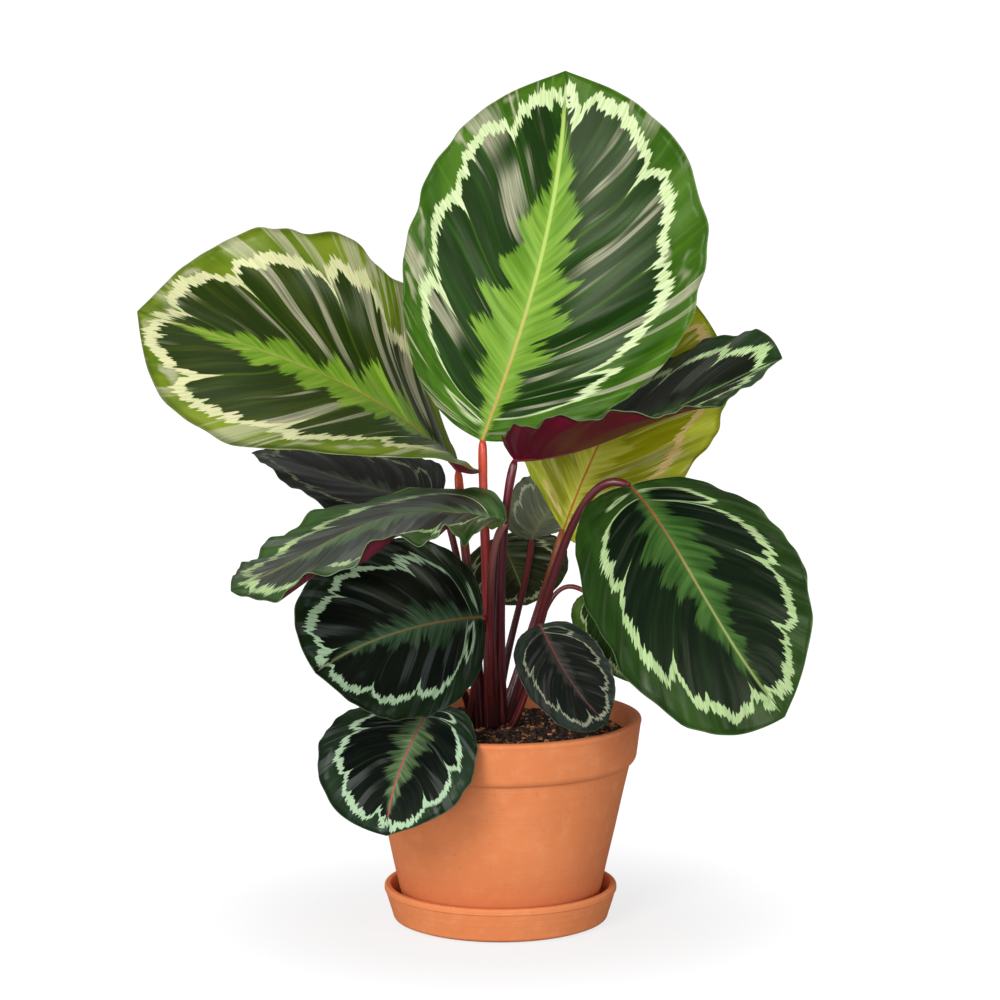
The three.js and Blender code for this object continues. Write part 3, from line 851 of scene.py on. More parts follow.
class Op(Enum):
    """The maths that wires do."""

    ADD = "ADD"
    SUBTRACT = "SUBTRACT"
    MULTIPLY = "MULTIPLY"
    DIVIDE = "DIVIDE"
    POWER = "POWER"
    SINE = "SINE"
    FRACT = "FRACT"
    FLOOR = "FLOOR"
    ABSOLUTE = "ABSOLUTE"
    MINIMUM = "MINIMUM"
    MAXIMUM = "MAXIMUM"
    GREATER = "GREATER_THAN"
    EXPONENT = "EXPONENT"
    SQRT = "SQRT"


def operator(op: Op, swapped: bool = False) -> Callable:
    """Makes the method behind one of Python's operators.

    Args:
        op: What it does.
        swapped: Whether the wire is on the operator's right.

    Returns:
        The method.
    """

    def method(self: "Wire", other: "Wire | float") -> "Wire":
        first, second = (other, self) if swapped else (self, other)
        return self.graph.math(op, first, second)

    return method


class Wire:
    """A socket that takes part in Python expressions, adding Math nodes as it goes."""

    __add__ = operator(Op.ADD)
    __radd__ = operator(Op.ADD, swapped=True)
    __sub__ = operator(Op.SUBTRACT)
    __rsub__ = operator(Op.SUBTRACT, swapped=True)
    __mul__ = operator(Op.MULTIPLY)
    __rmul__ = operator(Op.MULTIPLY, swapped=True)
    __truediv__ = operator(Op.DIVIDE)
    __pow__ = operator(Op.POWER)

    def __init__(self, graph: "Graph", socket: bpy.types.NodeSocket):
        self.graph = graph
        self.socket = socket

    def do(self, op: Op, other: "Wire | float | None" = None) -> "Wire":
        """Applies one more kind of maths.

        Args:
            op: What to do.
            other: The second number or wire, if it takes one.

        Returns:
            The result.
        """
        return self.graph.math(op, self, other)

    def step(self, low: float, high: float) -> "Wire":
        """Rises smoothly from 0 to 1 between two values.

        Args:
            low: Where it starts.
            high: Where it ends.

        Returns:
            The result, clamped.
        """
        node = self.graph.node(
            "ShaderNodeMapRange",
            {"Value": self, "From Min": low, "From Max": high, "To Min": 0.0, "To Max": 1.0},
            interpolation_type="SMOOTHSTEP",
        )
        return Wire(self.graph, node.outputs[0])


class Nodes:
    """A node tree, built by names."""

    def __init__(self, tree: bpy.types.NodeTree):
        self.tree = tree
        tree.nodes.clear()

    def put(self, socket: bpy.types.NodeSocket, value: object) -> None:
        """Links something to an input, or sets a constant on it.

        Args:
            socket: The input.
            value: A wire, an output, a number or a colour.
        """
        if isinstance(value, Wire):
            value = value.socket
        if isinstance(value, bpy.types.NodeSocket):
            self.tree.links.new(value, socket)
        else:
            socket.default_value = value

    def node(self, kind: str, inputs: dict | None = None, **settings) -> bpy.types.Node:
        """Adds any node.

        Args:
            kind: The node's type.
            inputs: Values by input name.
            settings: The node's own properties.

        Returns:
            The node.
        """
        made = self.tree.nodes.new(kind)
        for key, value in settings.items():
            setattr(made, key, value)
        for key, value in (inputs or {}).items():
            self.put(made.inputs[key], value)
        return made

    def show(self, lit: bpy.types.Node, seen: bpy.types.Node, end: bpy.types.Node) -> None:
        """Sends one shader to the camera's own rays and another to all the rest.

        Args:
            lit: What lights the scene.
            seen: What the camera sees.
            end: The output.
        """
        path = self.node("ShaderNodeLightPath")
        both = self.node("ShaderNodeMixShader", {0: path.outputs["Is Camera Ray"]})
        self.tree.links.new(lit.outputs[0], both.inputs[1])
        self.tree.links.new(seen.outputs[0], both.inputs[2])
        self.tree.links.new(both.outputs[0], end.inputs[0])


class Graph(Nodes):
    """A material's nodes."""

    def __init__(self, name: str):
        self.material = bpy.data.materials.new(name)
        self.material.use_nodes = True
        super().__init__(self.material.node_tree)
        self.output = self.node("ShaderNodeOutputMaterial")
        self.shader = self.node("ShaderNodeBsdfPrincipled")
        self.tree.links.new(self.shader.outputs[0], self.output.inputs[0])

    def math(self, op: Op, a: Wire | float, b: Wire | float | None = None) -> Wire:
        """Adds a Math node.

        Args:
            op: What it does.
            a: First wire or number.
            b: Second wire or number, if any.

        Returns:
            Its result.
        """
        made = self.node("ShaderNodeMath", {0: a}, operation=op.value)
        if b is not None:
            self.put(made.inputs[1], b)
        return Wire(self, made.outputs[0])

    def mix(self, share: Wire | float, a: Wire | tuple, b: Wire | tuple) -> Wire:
        """Mixes two colours.

        Args:
            share: How much of the second colour.
            a: First colour.
            b: Second colour.

        Returns:
            The mixed colour.
        """
        made = self.node("ShaderNodeMix", data_type="RGBA")
        by_id = {s.identifier: s for s in made.inputs}
        for key, value in (("Factor_Float", share), ("A_Color", a), ("B_Color", b)):
            self.put(by_id[key], value)
        return Wire(self, {s.identifier: s for s in made.outputs}["Result_Color"])

    def vector(self, x: Wire | float, y: Wire | float, z: Wire | float = 0.0) -> Wire:
        """Combines three numbers.

        Args:
            x: First.
            y: Second.
            z: Third.

        Returns:
            The vector.
        """
        return Wire(self, self.node("ShaderNodeCombineXYZ", {"X": x, "Y": y, "Z": z}).outputs[0])

    def noise(self, where: Wire, scale: float = 1.0, detail: float = 2.0, rough: float = 0.5) -> Wire:
        """Adds smooth noise.

        Args:
            where: Coordinates.
            scale: Its frequency.
            detail: Octaves.
            rough: Strength of the finer octaves.

        Returns:
            Values around 0.5.
        """
        inputs = {"Vector": where, "Scale": scale, "Detail": detail, "Roughness": rough}
        return Wire(self, self.node("ShaderNodeTexNoise", inputs).outputs[0])

    def split(self, vector: Wire | bpy.types.NodeSocket) -> list[Wire]:
        """Takes a vector apart.

        Args:
            vector: The vector.

        Returns:
            Its three numbers.
        """
        made = self.node("ShaderNodeSeparateXYZ", {"Vector": vector})
        return [Wire(self, socket) for socket in made.outputs]

    def map(self, name: str) -> list[Wire]:
        """Reads a map's two coordinates.

        Args:
            name: The map's name.

        Returns:
            u and v.
        """
        return self.split(self.node("ShaderNodeUVMap", uv_map=name).outputs[0])[:2]

    def place(self) -> Wire:
        """Reads the object's own coordinates.

        Returns:
            The coordinates in metres.
        """
        return Wire(self, self.node("ShaderNodeTexCoord").outputs["Object"])

    def bump(self, height: Wire, strength: float, distance: float) -> Wire:
        """Turns a height into a normal.

        Args:
            height: The height.
            strength: How strong.
            distance: Its full height in metres.

        Returns:
            The normal.
        """
        inputs = {"Height": height, "Strength": strength, "Distance": distance}
        return Wire(self, self.node("ShaderNodeBump", inputs).outputs[0])

    def finish(self, **inputs) -> bpy.types.Material:
        """Sets the shader's inputs.

        Args:
            inputs: Values by input name, with underscores for spaces.

        Returns:
            The material.
        """
        for key, value in inputs.items():
            self.put(self.shader.inputs[key.replace("_", " ")], value)
        return self.material


# ---- materials ------------------------------------------------------------------------------
UNDER_RIB = (170, 84, 84)
STALK_STREAK = (164, 74, 74)
STALK_SPOT = (38, 12, 18)
CLAY = ((222, 131, 79), (228, 138, 85))
CLAY_MOTTLE = (238, 156, 108)
CLAY_LINE = (206, 120, 74)
CLAY_GRIT = (184, 102, 62)
CLAY_GRAIN = (246, 188, 148)
# Painted shade on the clay near the ground, where the pot meets the saucer.
CLAY_PAINTED_SHADE = (186, 92, 50)
CLAY_PAINTED_SHADE_HEIGHT = (0.012, 0.06)  # painted shade up to the first height, none from the second, in metres
SOIL = ((22, 12, 8), (62, 40, 28))
SOIL_FLECK = (120, 82, 56)
CRUMB = ((14, 8, 5), (64, 38, 22))
CRUMB_BARK = (196, 132, 82)
CRUMB_PALE = (206, 190, 166)
CRUMB_FIBRE = (30, 18, 12)


def blade_material(name: str, look: LeafFinish) -> bpy.types.Material:
    """The upper side: dark between the veins, a pale ragged ring, a feathered stripe on the midrib and a
    painted sheen in pale streaks and blotches.

    Args:
        name: The material's name.
        look: The leaf's colours.

    Returns:
        The material.
    """
    g = Graph(name)
    u, v = g.map(LEAF_MAP)
    along, out = g.map(PLACE_MAP)
    side = v.do(Op.GREATER, 0.5)
    reach = (2.0 * v - 1.0).do(Op.ABSOLUTE)
    key = side * SIDE_KEY + look.seed * LEAF_KEY

    def noise(x: Wire, y: Wire, shift: float, detail: float = 1.0, rough: float = 0.5) -> Wire:
        return g.noise(g.vector(x, y, key + shift), 1.0, detail, rough)

    # A lane is the strip that belongs to one side vein, and each has a chance number of its own.
    drift = g.noise(g.vector(u * 4.0, reach * 1.2, key), 1.0, 1.0) - 0.5
    lane = u * look.lobes + side * LANE_SHIFT + drift * 0.5
    across = lane.do(Op.FRACT)
    chance_at = {"Vector": g.vector(lane.do(Op.FLOOR), key)}
    chance = Wire(g, g.node("ShaderNodeTexWhiteNoise", chance_at, noise_dimensions="3D").outputs["Value"])
    vein_gap = across.do(Op.MINIMUM, 1.0 - across)
    arch = 1.0 - ((2.0 * across - 1.0).do(Op.ABSOLUTE)) ** 2.6

    teeth = noise(lane * 11.0, reach * 1.6, 3.0, 2.0, 0.65) - 0.5
    fine_teeth = noise(lane * 32.0, reach * 3.5, 9.0) - 0.5
    streak = noise(lane * 8.0, reach * 1.0, 21.0, 3.0, 0.6)
    hair = noise(lane * 42.0, reach * 2.2, 31.0)
    cloud = noise(u * 6.0, v * 5.0, 41.0, 3.0)
    zigzag = g.noise(g.vector(lane * 4.6, key + 87.0), 1.0, 1.0) - 0.5

    # The ring runs at a steady level inside the outline, arched and toothed in every lane.
    ends = 2.0 * along - 1.0
    middle = (1.0 - ends * ends).do(Op.MAXIMUM, 0.0)
    shell = (ends * ends + out * out * middle).do(Op.SQRT)
    level = RING_TIP - (RING_TIP - look.ring_level) * middle**0.8 + (chance - 0.5) * 0.035
    wave = level + 0.07 * (arch - 0.75) + 0.04 * (across - 0.5)
    wave = wave + zigzag * RING_ZIGZAG * (0.4 + 0.6 * along.step(0.04, 0.32))
    calm = 0.16 + 0.84 * along.step(0.06, 0.42)
    thick = look.ring_width * (0.35 + 0.75 * arch) * calm
    spike = 0.16 * ((vein_gap * -26.0).do(Op.EXPONENT)) * (0.2 + chance)
    inner = wave - 0.5 * thick + (teeth * 0.17 + fine_teeth * 0.1 - spike) * calm
    outer = wave + 0.5 * thick + (teeth * 0.12 + fine_teeth * 0.1) * calm
    past_inner = (shell - inner).step(-RING_EDGE, RING_EDGE)
    in_ring = past_inner * (1.0 - (shell - outer).step(-RING_EDGE, RING_EDGE))

    # The feather reaches out from the midrib in fingers, widest below the middle.
    near_rib = out * (middle**0.5)
    narrowing = ((along - FEATHER_START) / (FEATHER_END - FEATHER_START)).do(Op.MAXIMUM, 0.0)
    envelope = (0.12 + 0.88 * along.step(0.0, 0.36)) * (1.0 - narrowing)
    finger = 1.0 - (lane * 2.0 + chance).do(Op.FRACT)
    reach_out = look.feather_reach * envelope * (0.46 + 0.75 * finger + 0.4 * chance)
    reach_out = reach_out + (teeth * 0.32 + fine_teeth * 0.14) * (0.15 + 0.85 * envelope)
    fringe = (near_rib - reach_out + (hair - 0.5) * 0.09).step(-look.feather_soft, look.feather_soft * 0.8)
    fade = (near_rib / reach_out.do(Op.MAXIMUM, 0.03)).do(Op.MINIMUM, 1.0)
    in_feather = (1.0 - fringe) * (1.0 - look.feather_fade * fade)

    # Painted sheen: pale streaks and blotches that stand in for the lights' reflections on the folds between
    # the veins.
    painted_sheen = colour(look.painted_sheen)
    margin = g.mix(cloud.step(0.35, 0.7), *tints(look.margin))
    margin = g.mix(0.4 * streak.step(0.5, 0.7), margin, colour(look.margin[1]))
    # Painted sheen in blotches over the margin.
    painted_sheen_blotch = noise(lane * 2.4, shell * 5.0, 77.0, 2.0, 0.6)
    margin = g.mix(painted_sheen_blotch.step(0.56, 0.7) * look.painted_sheen_share * (0.4 + hair), margin, painted_sheen)
    # Painted sheen in streaks along the veins, away from the midrib.
    painted_sheen_band = noise(lane * 4.2, reach * 0.45, 55.0, 2.0, 0.6)
    painted_sheen_patch = noise(u * 2.6, reach * 1.8, 71.0)
    painted_sheen_here = painted_sheen_band.step(0.545, 0.6) * (0.66 + 1.8 * (hair - 0.45)) * near_rib.step(0.1, 0.3)
    painted_sheen_here = painted_sheen_here * painted_sheen_patch.step(0.34, 0.52)
    feather = g.mix(streak.step(0.35, 0.7), *tints(look.feather))
    feather = g.mix((1.0 - reach.step(0.0, 0.1)) * 0.35, feather, colour(look.feather[1]))

    made = g.mix(1.0 - past_inner, margin, g.mix(streak.step(0.44, 0.76), *tints(look.dark)))
    # The painted sheen laid over the dark band and the margin.
    made = g.mix(painted_sheen_here * look.painted_sheen_share, made, painted_sheen)
    made = g.mix(in_ring, made, g.mix(hair.step(0.3, 0.7), *tints(look.ring)))
    made = g.mix(in_feather, made, feather)
    vein_line = (1.0 - vein_gap.step(0.0, 0.03)) * 0.25 * (1.0 - in_ring)
    made = g.mix(vein_line, made, colour(look.feather[0]))
    rib_here = 1.0 - near_rib.step(0.007, 0.017)
    rib = g.mix(along.step(0.05, 0.6), *tints(look.midrib))
    made = g.mix(rib_here * (1.0 - 0.5 * along.step(0.75, 1.0)), made, rib)
    made = g.mix(reach.step(0.988, 0.998) * 0.22, made, colour(look.ring[0]))

    ripples = noise(lane * 26.0, reach * 1.4, 61.0, 2.0)
    pores = g.noise(g.vector(u * 160.0, v * 150.0, key), 1.0, 1.0)
    folds = noise(lane * 7.0, reach * 0.6, 91.0)
    return g.finish(
        Base_Color=made,
        Roughness=0.34 + 0.14 * (cloud - 0.5) + 0.06 * in_feather + 0.05 * in_ring,
        Normal=g.bump(0.2 * ripples + 2.0 * folds + 0.12 * pores - 0.8 * rib_here, look.relief, 0.0008),
        Coat_Weight=0.04,
        Coat_Roughness=0.2,
        Specular_IOR_Level=look.gloss,
        Specular_Tint=(0.9, 1.0, 0.66, 1.0),
    )


def under_material(name: str, look: LeafFinish) -> bpy.types.Material:
    """The underside: plain, with finer veins and a pale midrib.

    Args:
        name: The material's name.
        look: The leaf's colours.

    Returns:
        The material.
    """
    g = Graph(name)
    u, v = g.map(LEAF_MAP)
    reach = (2.0 * v - 1.0).do(Op.ABSOLUTE)
    side = v.do(Op.GREATER, 0.5)
    key = side * SIDE_KEY + look.seed * LEAF_KEY
    lane = u * look.lobes + side * LANE_SHIFT
    width = (u * math.pi).do(Op.SINE).do(Op.MAXIMUM, 0.02)
    across = lane.do(Op.FRACT)
    vein_gap = across.do(Op.MINIMUM, 1.0 - across)
    streak = g.noise(g.vector(lane * 14.0, reach * 1.6, key), 1.0, 3.0, 0.6)
    cloud = g.noise(g.vector(u * 5.0, v * 4.0, key + 5.0), 1.0, 3.0)
    made = g.mix(streak.step(0.3, 0.75) * 0.6 + 0.3 * cloud.step(0.4, 0.7), *tints(look.under))
    made = g.mix((1.0 - vein_gap.step(0.0, 0.05)) * 0.4, made, colour(look.under[1]))
    rib_here = 1.0 - (reach * width).step(0.014, 0.026)
    made = g.mix(rib_here * 0.8, made, colour(UNDER_RIB))
    ripples = g.noise(g.vector(lane * 26.0, reach * 2.0, key), 1.0, 2.0)
    return g.finish(
        Base_Color=made,
        Roughness=0.46 + 0.12 * (cloud - 0.5),
        Normal=g.bump(ripples, 0.3, 0.0005),
        Specular_IOR_Level=0.25,
    )


def stalk_material(name: str, look: LeafFinish) -> bpy.types.Material:
    """A smooth stem, dark at the foot, partly as painted shade, and brighter towards the blade, with fine
    lengthwise streaks.

    Args:
        name: The material's name.
        look: The leaf's colours.

    Returns:
        The material.
    """
    g = Graph(name)
    u, v = g.map(STALK_MAP)
    turn = v * (2 * math.pi)
    east, north = (turn + math.pi / 2).do(Op.SINE), turn.do(Op.SINE)
    streak = g.noise(g.vector(east * 2.6, north * 2.6, u * 3.0 + look.seed * 5.0), 1.0, 3.0, 0.6)
    fibre = g.noise(g.vector(east * 9.0, north * 9.0, u * 7.0 + look.seed * 5.0), 1.0, 2.0)
    spots = g.noise(g.vector(east * 6.0, north * 6.0, u * 60.0), 1.0, 2.0)
    # Dark at the foot: partly the stalk's own colour, partly painted shade low among the stalks.
    made = g.mix(u.step(0.0, 0.5), *tints(look.stalk[:2]))
    made = g.mix(u.step(0.55, 0.96), made, colour(look.stalk[2]))
    made = g.mix(streak.step(0.5, 0.72) * 0.45, made, colour(STALK_STREAK))
    made = g.mix(spots.step(0.6, 0.72) * 0.3, made, colour(STALK_SPOT))
    return g.finish(
        Base_Color=made,
        Roughness=0.34 + 0.2 * (fibre - 0.5),
        Normal=g.bump(fibre, 0.35, 0.0004),
        Coat_Weight=0.2,
        Coat_Roughness=0.2,
    )


def clay_material(name: str, seed: float, painted_shade: float) -> bpy.types.Material:
    """Unglazed terracotta: fine grain, soft cloudy tone, faint turning lines and painted shade near the
    ground.

    Args:
        name: The material's name.
        seed: Offset of its pattern.
        painted_shade: How much painted shade darkens the clay near the ground.

    Returns:
        The material.
    """
    g = Graph(name)
    place = g.place()
    z = g.split(place)[2]
    cloud = g.noise(place, 22.0, 4.0, 0.6)
    mottle = g.noise(place, 120.0, 3.0, 0.6)
    grain = g.noise(place, 900.0, 2.0, 0.6)
    grit = g.noise(place, 420.0, 1.0)
    lines = g.noise(g.vector(z * 620.0, seed, cloud * 0.6), 1.0, 2.0, 0.6)
    made = g.mix(cloud.step(0.35, 0.68), *tints(CLAY))
    made = g.mix(mottle.step(0.45, 0.75) * 0.35, made, colour(CLAY_MOTTLE))
    made = g.mix(lines.step(0.5, 0.75) * 0.3, made, colour(CLAY_LINE))
    made = g.mix(grit.step(0.66, 0.76) * 0.22, made, colour(CLAY_GRIT))
    made = g.mix(grain.step(0.68, 0.78) * 0.35, made, colour(CLAY_GRAIN))
    # Painted shade: the clay darkens towards the ground, where the pot meets the saucer.
    made = g.mix((1.0 - z.step(*CLAY_PAINTED_SHADE_HEIGHT)) * painted_shade, made, colour(CLAY_PAINTED_SHADE))
    return g.finish(
        Base_Color=made,
        Roughness=0.78 + 0.12 * (mottle - 0.5),
        Normal=g.bump(grain * 0.5 + grit * 0.3 + lines * 0.6, 0.28, 0.0004),
        Specular_IOR_Level=0.3,
    )


def soil_material(name: str) -> bpy.types.Material:
    """Damp dark potting mix.

    Args:
        name: The material's name.

    Returns:
        The material.
    """
    g = Graph(name)
    place = g.place()
    lump = g.noise(place, 260.0, 4.0, 0.7)
    fleck = g.noise(place, 700.0, 2.0, 0.6)
    made = g.mix(lump.step(0.35, 0.7), *tints(SOIL))
    made = g.mix(fleck.step(0.62, 0.72) * 0.6, made, colour(SOIL_FLECK))
    relief = g.bump(lump + fleck * 0.4, 0.9, 0.0015)
    return g.finish(Base_Color=made, Roughness=0.85 + 0.2 * (fleck - 0.5), Normal=relief)


def crumb_material(name: str) -> bpy.types.Material:
    """Crumbs, chips of bark and a few pale specks, by their stored tone.

    Args:
        name: The material's name.

    Returns:
        The material.
    """
    g = Graph(name)
    tone = Wire(g, g.node("ShaderNodeAttribute", attribute_name="tone").outputs["Fac"])
    fibre = g.noise(g.place(), 800.0, 3.0, 0.6)
    made = g.mix(tone.step(0.1, 0.6), *tints(CRUMB))
    made = g.mix(tone.step(0.62, 0.9), made, colour(CRUMB_BARK))
    made = g.mix(tone.step(0.955, 0.97), made, colour(CRUMB_PALE))
    made = g.mix(fibre.step(0.5, 0.7) * 0.4, made, colour(CRUMB_FIBRE))
    return g.finish(Base_Color=made, Roughness=0.8 + 0.2 * (fibre - 0.5), Normal=g.bump(fibre, 0.6, 0.0006))


# ---- scattered crumbs -----------------------------------------------------------------------
@dataclass(frozen=True)
class Scatter:
    """How one kind of soil crumb is strewn."""

    name: str
    density: float  # per square metre
    size: Triple  # full lengths in metres
    spread: tuple[float, float]  # smallest and largest scale
    tones: tuple[float, float]
    seed: int


CRUMBS = (
    Scatter("soil_crumbs", 230000, (0.0032, 0.0027, 0.0024), (0.4, 1.15), (0.0, 0.82), 11),
    Scatter("bark_chips", 42000, (0.0058, 0.0032, 0.0022), (0.4, 1.2), (0.42, 0.95), 23),
    Scatter("pale_specks", 9000, (0.0022, 0.0020, 0.0016), (0.5, 1.0), (0.97, 1.0), 37),
)
CRUMB_LOWEST = 0.1035  # crumbs lie only above this height, in metres
CRUMB_STEEPEST = 0.25  # and where the soil's normal rises more than this
CRUMB_TILT = 0.6  # radians


class Field(Nodes):
    """A geometry node tree that takes a mesh and gives one back."""

    def __init__(self, name: str, inputs: dict[str, float]):
        super().__init__(bpy.data.node_groups.new(name, "GeometryNodeTree"))
        for way in ("INPUT", "OUTPUT"):
            self.tree.interface.new_socket("Geometry", in_out=way, socket_type="NodeSocketGeometry")
        for label, value in inputs.items():
            item = self.tree.interface.new_socket(label, in_out="INPUT", socket_type="NodeSocketFloat")
            item.default_value = value

    def above(self, value: bpy.types.NodeSocket, limit: float) -> bpy.types.NodeSocket:
        """Tests whether a vector's height is above a limit.

        Args:
            value: The vector.
            limit: The limit.

        Returns:
            One or zero.
        """
        z = self.node("ShaderNodeSeparateXYZ", {"Vector": value}).outputs[2]
        return self.node("ShaderNodeMath", {0: z, 1: limit}, operation="GREATER_THAN").outputs[0]

    def random(self, low: object, high: object, seed: int) -> bpy.types.NodeSocket:
        """Draws a random value for each point.

        Args:
            low: Smallest, as a number, a vector or an output.
            high: Largest.
            seed: The draw's seed.

        Returns:
            The value.
        """
        kind, tail = ("FLOAT_VECTOR", "") if isinstance(low, tuple) else ("FLOAT", "_001")
        made = self.node("FunctionNodeRandomValue", {"Seed": seed}, data_type=kind)
        by_id = {s.identifier: s for s in made.inputs}
        self.put(by_id["Min" + tail], low)
        self.put(by_id["Max" + tail], high)
        return {s.identifier: s for s in made.outputs}["Value" + tail]


def build_crumbs(kind: Scatter, bed: bpy.types.Object, material: bpy.types.Material) -> bpy.types.Object:
    """Strews crumbs over the soil.

    Args:
        kind: Their size, number and tone.
        bed: The soil they lie on.
        material: Their material.

    Returns:
        The crumbs as one plain mesh object.
    """
    inputs = {"Density": kind.density, "Smallest": kind.spread[0], "Largest": kind.spread[1]}
    field = Field(kind.name + "_nodes", inputs)
    bed_in, density, smallest, largest = field.node("NodeGroupInput").outputs[:4]
    high = field.above(field.node("GeometryNodeInputPosition").outputs[0], CRUMB_LOWEST)
    level = field.above(field.node("GeometryNodeInputNormal").outputs[0], CRUMB_STEEPEST)
    top = field.node("ShaderNodeMath", {0: high, 1: level}, operation="MULTIPLY")
    points = field.node(
        "GeometryNodeDistributePointsOnFaces",
        {"Mesh": bed_in, "Selection": top.outputs[0], "Density": density, "Seed": kind.seed},
    )
    ball = field.node("GeometryNodeMeshIcoSphere", {"Radius": 0.5, "Subdivisions": 2})
    lumps = field.node("ShaderNodeTexNoise", {"Scale": 1.9, "Detail": 1.0})
    offset = field.node(
        "ShaderNodeVectorMath", {0: lumps.outputs["Color"], 1: (0.5, 0.5, 0.5)}, operation="SUBTRACT"
    )
    lumpy = field.node("GeometryNodeSetPosition", {"Geometry": ball.outputs[0], "Offset": offset.outputs[0]})
    crumb = field.node("GeometryNodeTransform", {"Geometry": lumpy.outputs[0], "Scale": kind.size})
    turn = field.random((-CRUMB_TILT, -CRUMB_TILT, 0.0), (CRUMB_TILT, CRUMB_TILT, 6.283), kind.seed + 1)
    scale = field.random(smallest, largest, kind.seed + 2)
    strewn = field.node(
        "GeometryNodeInstanceOnPoints",
        {"Points": points.outputs[0], "Instance": crumb.outputs[0], "Rotation": turn, "Scale": scale},
    )
    stored = field.node(
        "GeometryNodeStoreNamedAttribute",
        {"Geometry": strewn.outputs[0], "Name": "tone", "Value": field.random(*kind.tones, kind.seed + 3)},
        data_type="FLOAT",
        domain="INSTANCE",
    )
    real = field.node("GeometryNodeRealizeInstances", {"Geometry": stored.outputs[0]})
    painted = field.node("GeometryNodeSetMaterial", {"Geometry": real.outputs[0], "Material": material})
    field.tree.links.new(painted.outputs[0], field.node("NodeGroupOutput").inputs[0])
    modifier = bed.modifiers.new(kind.name, "NODES")
    modifier.node_group = field.tree
    depsgraph = bpy.context.evaluated_depsgraph_get()
    mesh = bpy.data.meshes.new_from_object(bed.evaluated_get(depsgraph), depsgraph=depsgraph)
    bed.modifiers.remove(modifier)
    mesh.name = kind.name
    mesh.polygons.foreach_set("use_smooth", [True] * len(mesh.polygons))
    return add_object(kind.name, mesh)


# ---- stage ----------------------------------------------------------------------------------
@dataclass(frozen=True)
class Softbox:
    """One light: its name, place in metres, power in watts, and width and height."""

    name: str
    place: Triple
    power: float
    size: tuple[float, float]


LIGHTS = (
    Softbox("key", (-1.2, -2.5, 1.55), 50, (1.0, 1.0)),
    Softbox("low", (-0.5, -2.9, 0.5), 30, (1.6, 0.7)),
    Softbox("left", (-2.2, -0.7, 1.0), 12, (0.8, 1.4)),
    Softbox("right", (2.1, -1.6, 0.6), 15, (0.8, 1.0)),
    Softbox("top", (0.1, 0.2, 2.2), 3.5, (1.2, 1.0)),
)
LIGHTS_AIM = (0, 0, 0.24)
CAMERA_PLACE = (-0.0003, -2.6, 0.664)
CAMERA_PITCH = 9.24  # degrees below the level
CAMERA_LENS = 168.8
FLOOR_REACH = 12.0
FLOOR_PAINTED_SHADOW = (0.07, 0.28)  # painted shadow: the floor is a little grey this near the pot, and white this far, in metres
WORLD_LIGHT = 0.28


def add_camera() -> None:
    """Adds the camera, in front of the plant and a little above it."""
    data = bpy.data.cameras.new("camera")
    data.sensor_width = 36
    data.lens = CAMERA_LENS
    data.clip_end = 50
    camera = add_object("camera", data)
    camera.location = CAMERA_PLACE
    camera.rotation_euler = (math.radians(90 - CAMERA_PITCH), 0, 0)
    bpy.context.scene.camera = camera


def add_light(box: Softbox) -> None:
    """Adds a softbox aimed at the plant.

    Args:
        box: The light.
    """
    data = bpy.data.lights.new(box.name, "AREA")
    data.shape = "RECTANGLE"
    data.size, data.size_y = box.size
    data.energy = box.power
    lamp = add_object(box.name, data)
    lamp.location = box.place
    aim = Vector(LIGHTS_AIM) - Vector(box.place)
    lamp.rotation_euler = aim.to_track_quat("-Z", "Y").to_euler()


def floor_material(name: str) -> bpy.types.Material:
    """A white sweep that stays white to the eye but throws little light back, with a painted shadow in grey
    round the pot.

    Args:
        name: The material's name.

    Returns:
        The material.
    """
    g = Graph(name)
    g.finish(Base_Color=(0.42, 0.42, 0.42, 1), Roughness=0.95, Specular_IOR_Level=0.0)
    length = g.node("ShaderNodeVectorMath", {0: g.place()}, operation="LENGTH")
    away = Wire(g, length.outputs["Value"])
    seen = g.node(
        "ShaderNodeBsdfPrincipled",
        {
            "Base Color": (0.2, 0.2, 0.2, 1),
            "Roughness": 0.95,
            "Specular IOR Level": 0.0,
            # Painted shadow: what the camera sees is grey near the pot and white further out.
            "Emission Color": g.mix(away.step(*FLOOR_PAINTED_SHADOW), (0.77, 0.77, 0.77, 1), (1, 1, 1, 1)),
            "Emission Strength": 1.0,
        },
    )
    g.show(g.shader, seen, g.output)
    return g.material


def add_stage() -> None:
    """Adds the pale floor, the bright surroundings and the softboxes."""
    corners = [(x * FLOOR_REACH, y * FLOOR_REACH, 0) for x, y in ((-1, -1), (1, -1), (1, 1), (-1, 1))]
    floor = add_mesh("floor", corners, [(0, 1, 2, 3)], smooth=False)
    floor.data.materials.append(floor_material("floor"))
    world = bpy.data.worlds.new("studio")
    bpy.context.scene.world = world
    world.use_nodes = True
    sky = Nodes(world.node_tree)
    lit = sky.node("ShaderNodeBackground", {0: (0.97, 0.98, 1.0, 1), 1: WORLD_LIGHT})
    seen = sky.node("ShaderNodeBackground", {0: (1, 1, 1, 1), 1: 1.0})
    sky.show(lit, seen, sky.node("ShaderNodeOutputWorld"))
    for box in LIGHTS:
        add_light(box)
    bpy.context.scene.view_settings.view_transform = "Standard"
    bpy.context.scene.view_settings.look = "None"


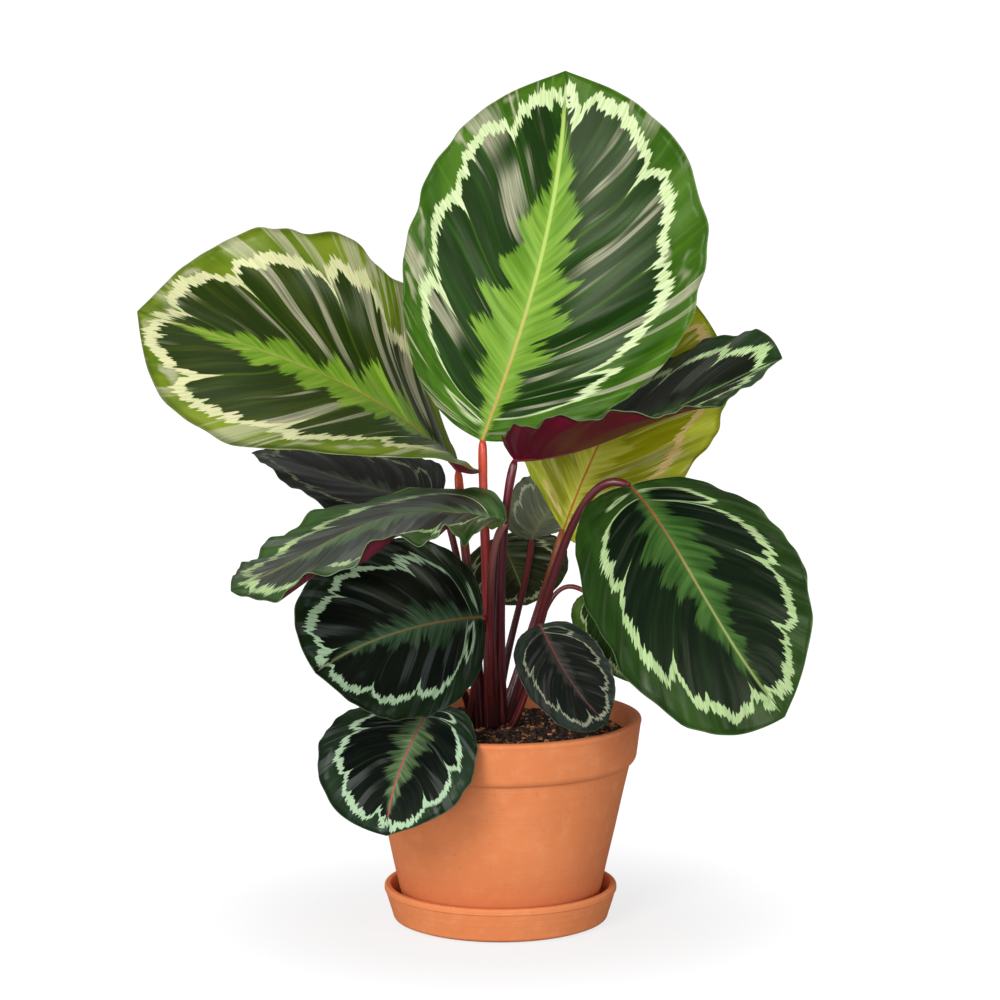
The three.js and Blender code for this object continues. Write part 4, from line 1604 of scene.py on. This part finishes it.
# ---- assembly -------------------------------------------------------------------------------
LARGE_HALF = 60  # half width in millimetres from which a blade is drawn finely
FINE, PLAIN = (132, 26), (84, 18)  # rows along a blade, and steps from its midrib to a margin
BLADE_SLOTS = {"d": "blade_olive"} | dict.fromkeys("abfm", "blade_green")


def settle(obj: bpy.types.Object, slot: str, *nodes: str) -> None:
    """Ties a finished piece to the plant's one body.

    Args:
        obj: The piece.
        slot: Not used.
        nodes: The solids it stands for.
    """
    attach(obj, "root")
    if nodes:
        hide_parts(*nodes)


def build_plant() -> None:
    """Builds every piece, ties it to the plant's body and hides the solids it stands for."""
    for key, leaf in LEAVES.items():
        rows, side_steps = FINE if max(leaf.half) > LARGE_HALF else PLAIN
        blade = Blade(leaf, rows, side_steps).build(f"blade_{key}")
        blade.data.materials.append(blade_material(f"blade_{key}_top", leaf.finish))
        blade.data.materials.append(under_material(f"blade_{key}_under", leaf.finish))
        settle(blade, BLADE_SLOTS.get(key, "blade_dark"), f"leaf_{key}_blade")
        stalk = build_stalk(f"stalk_{key}", leaf)
        stalk.data.materials.append(stalk_material(f"stalk_{key}", leaf.finish))
        settle(stalk, "stalk", f"leaf_{key}_stalk")
    saucer = turned("saucer_clay", SAUCER_PROFILE, radius=1.2, longest=3.0, wobble=0.12)
    pot = turned("pot_clay", POT_PROFILE, radius=1.4, longest=4.0, wobble=0.15)
    bed = build_soil()
    saucer.data.materials.append(clay_material("saucer_clay", seed=3.0, painted_shade=0.0))
    pot.data.materials.append(clay_material("pot_clay", seed=8.0, painted_shade=0.45))
    bed.data.materials.append(soil_material("soil"))
    crumb = crumb_material("crumbs")
    strewn = [build_crumbs(kind, bed, crumb) for kind in CRUMBS]
    settle(saucer, "terracotta", "saucer")
    settle(pot, "terracotta", "pot")
    settle(bed, "soil", "soil")
    for piece in strewn:
        settle(piece, "soil")


def main() -> None:
    """Builds the scene."""
    logging.basicConfig(level=logging.INFO)
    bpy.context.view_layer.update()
    build_plant()
    add_stage()
    add_camera()


if __name__ == "__main__":
    main()
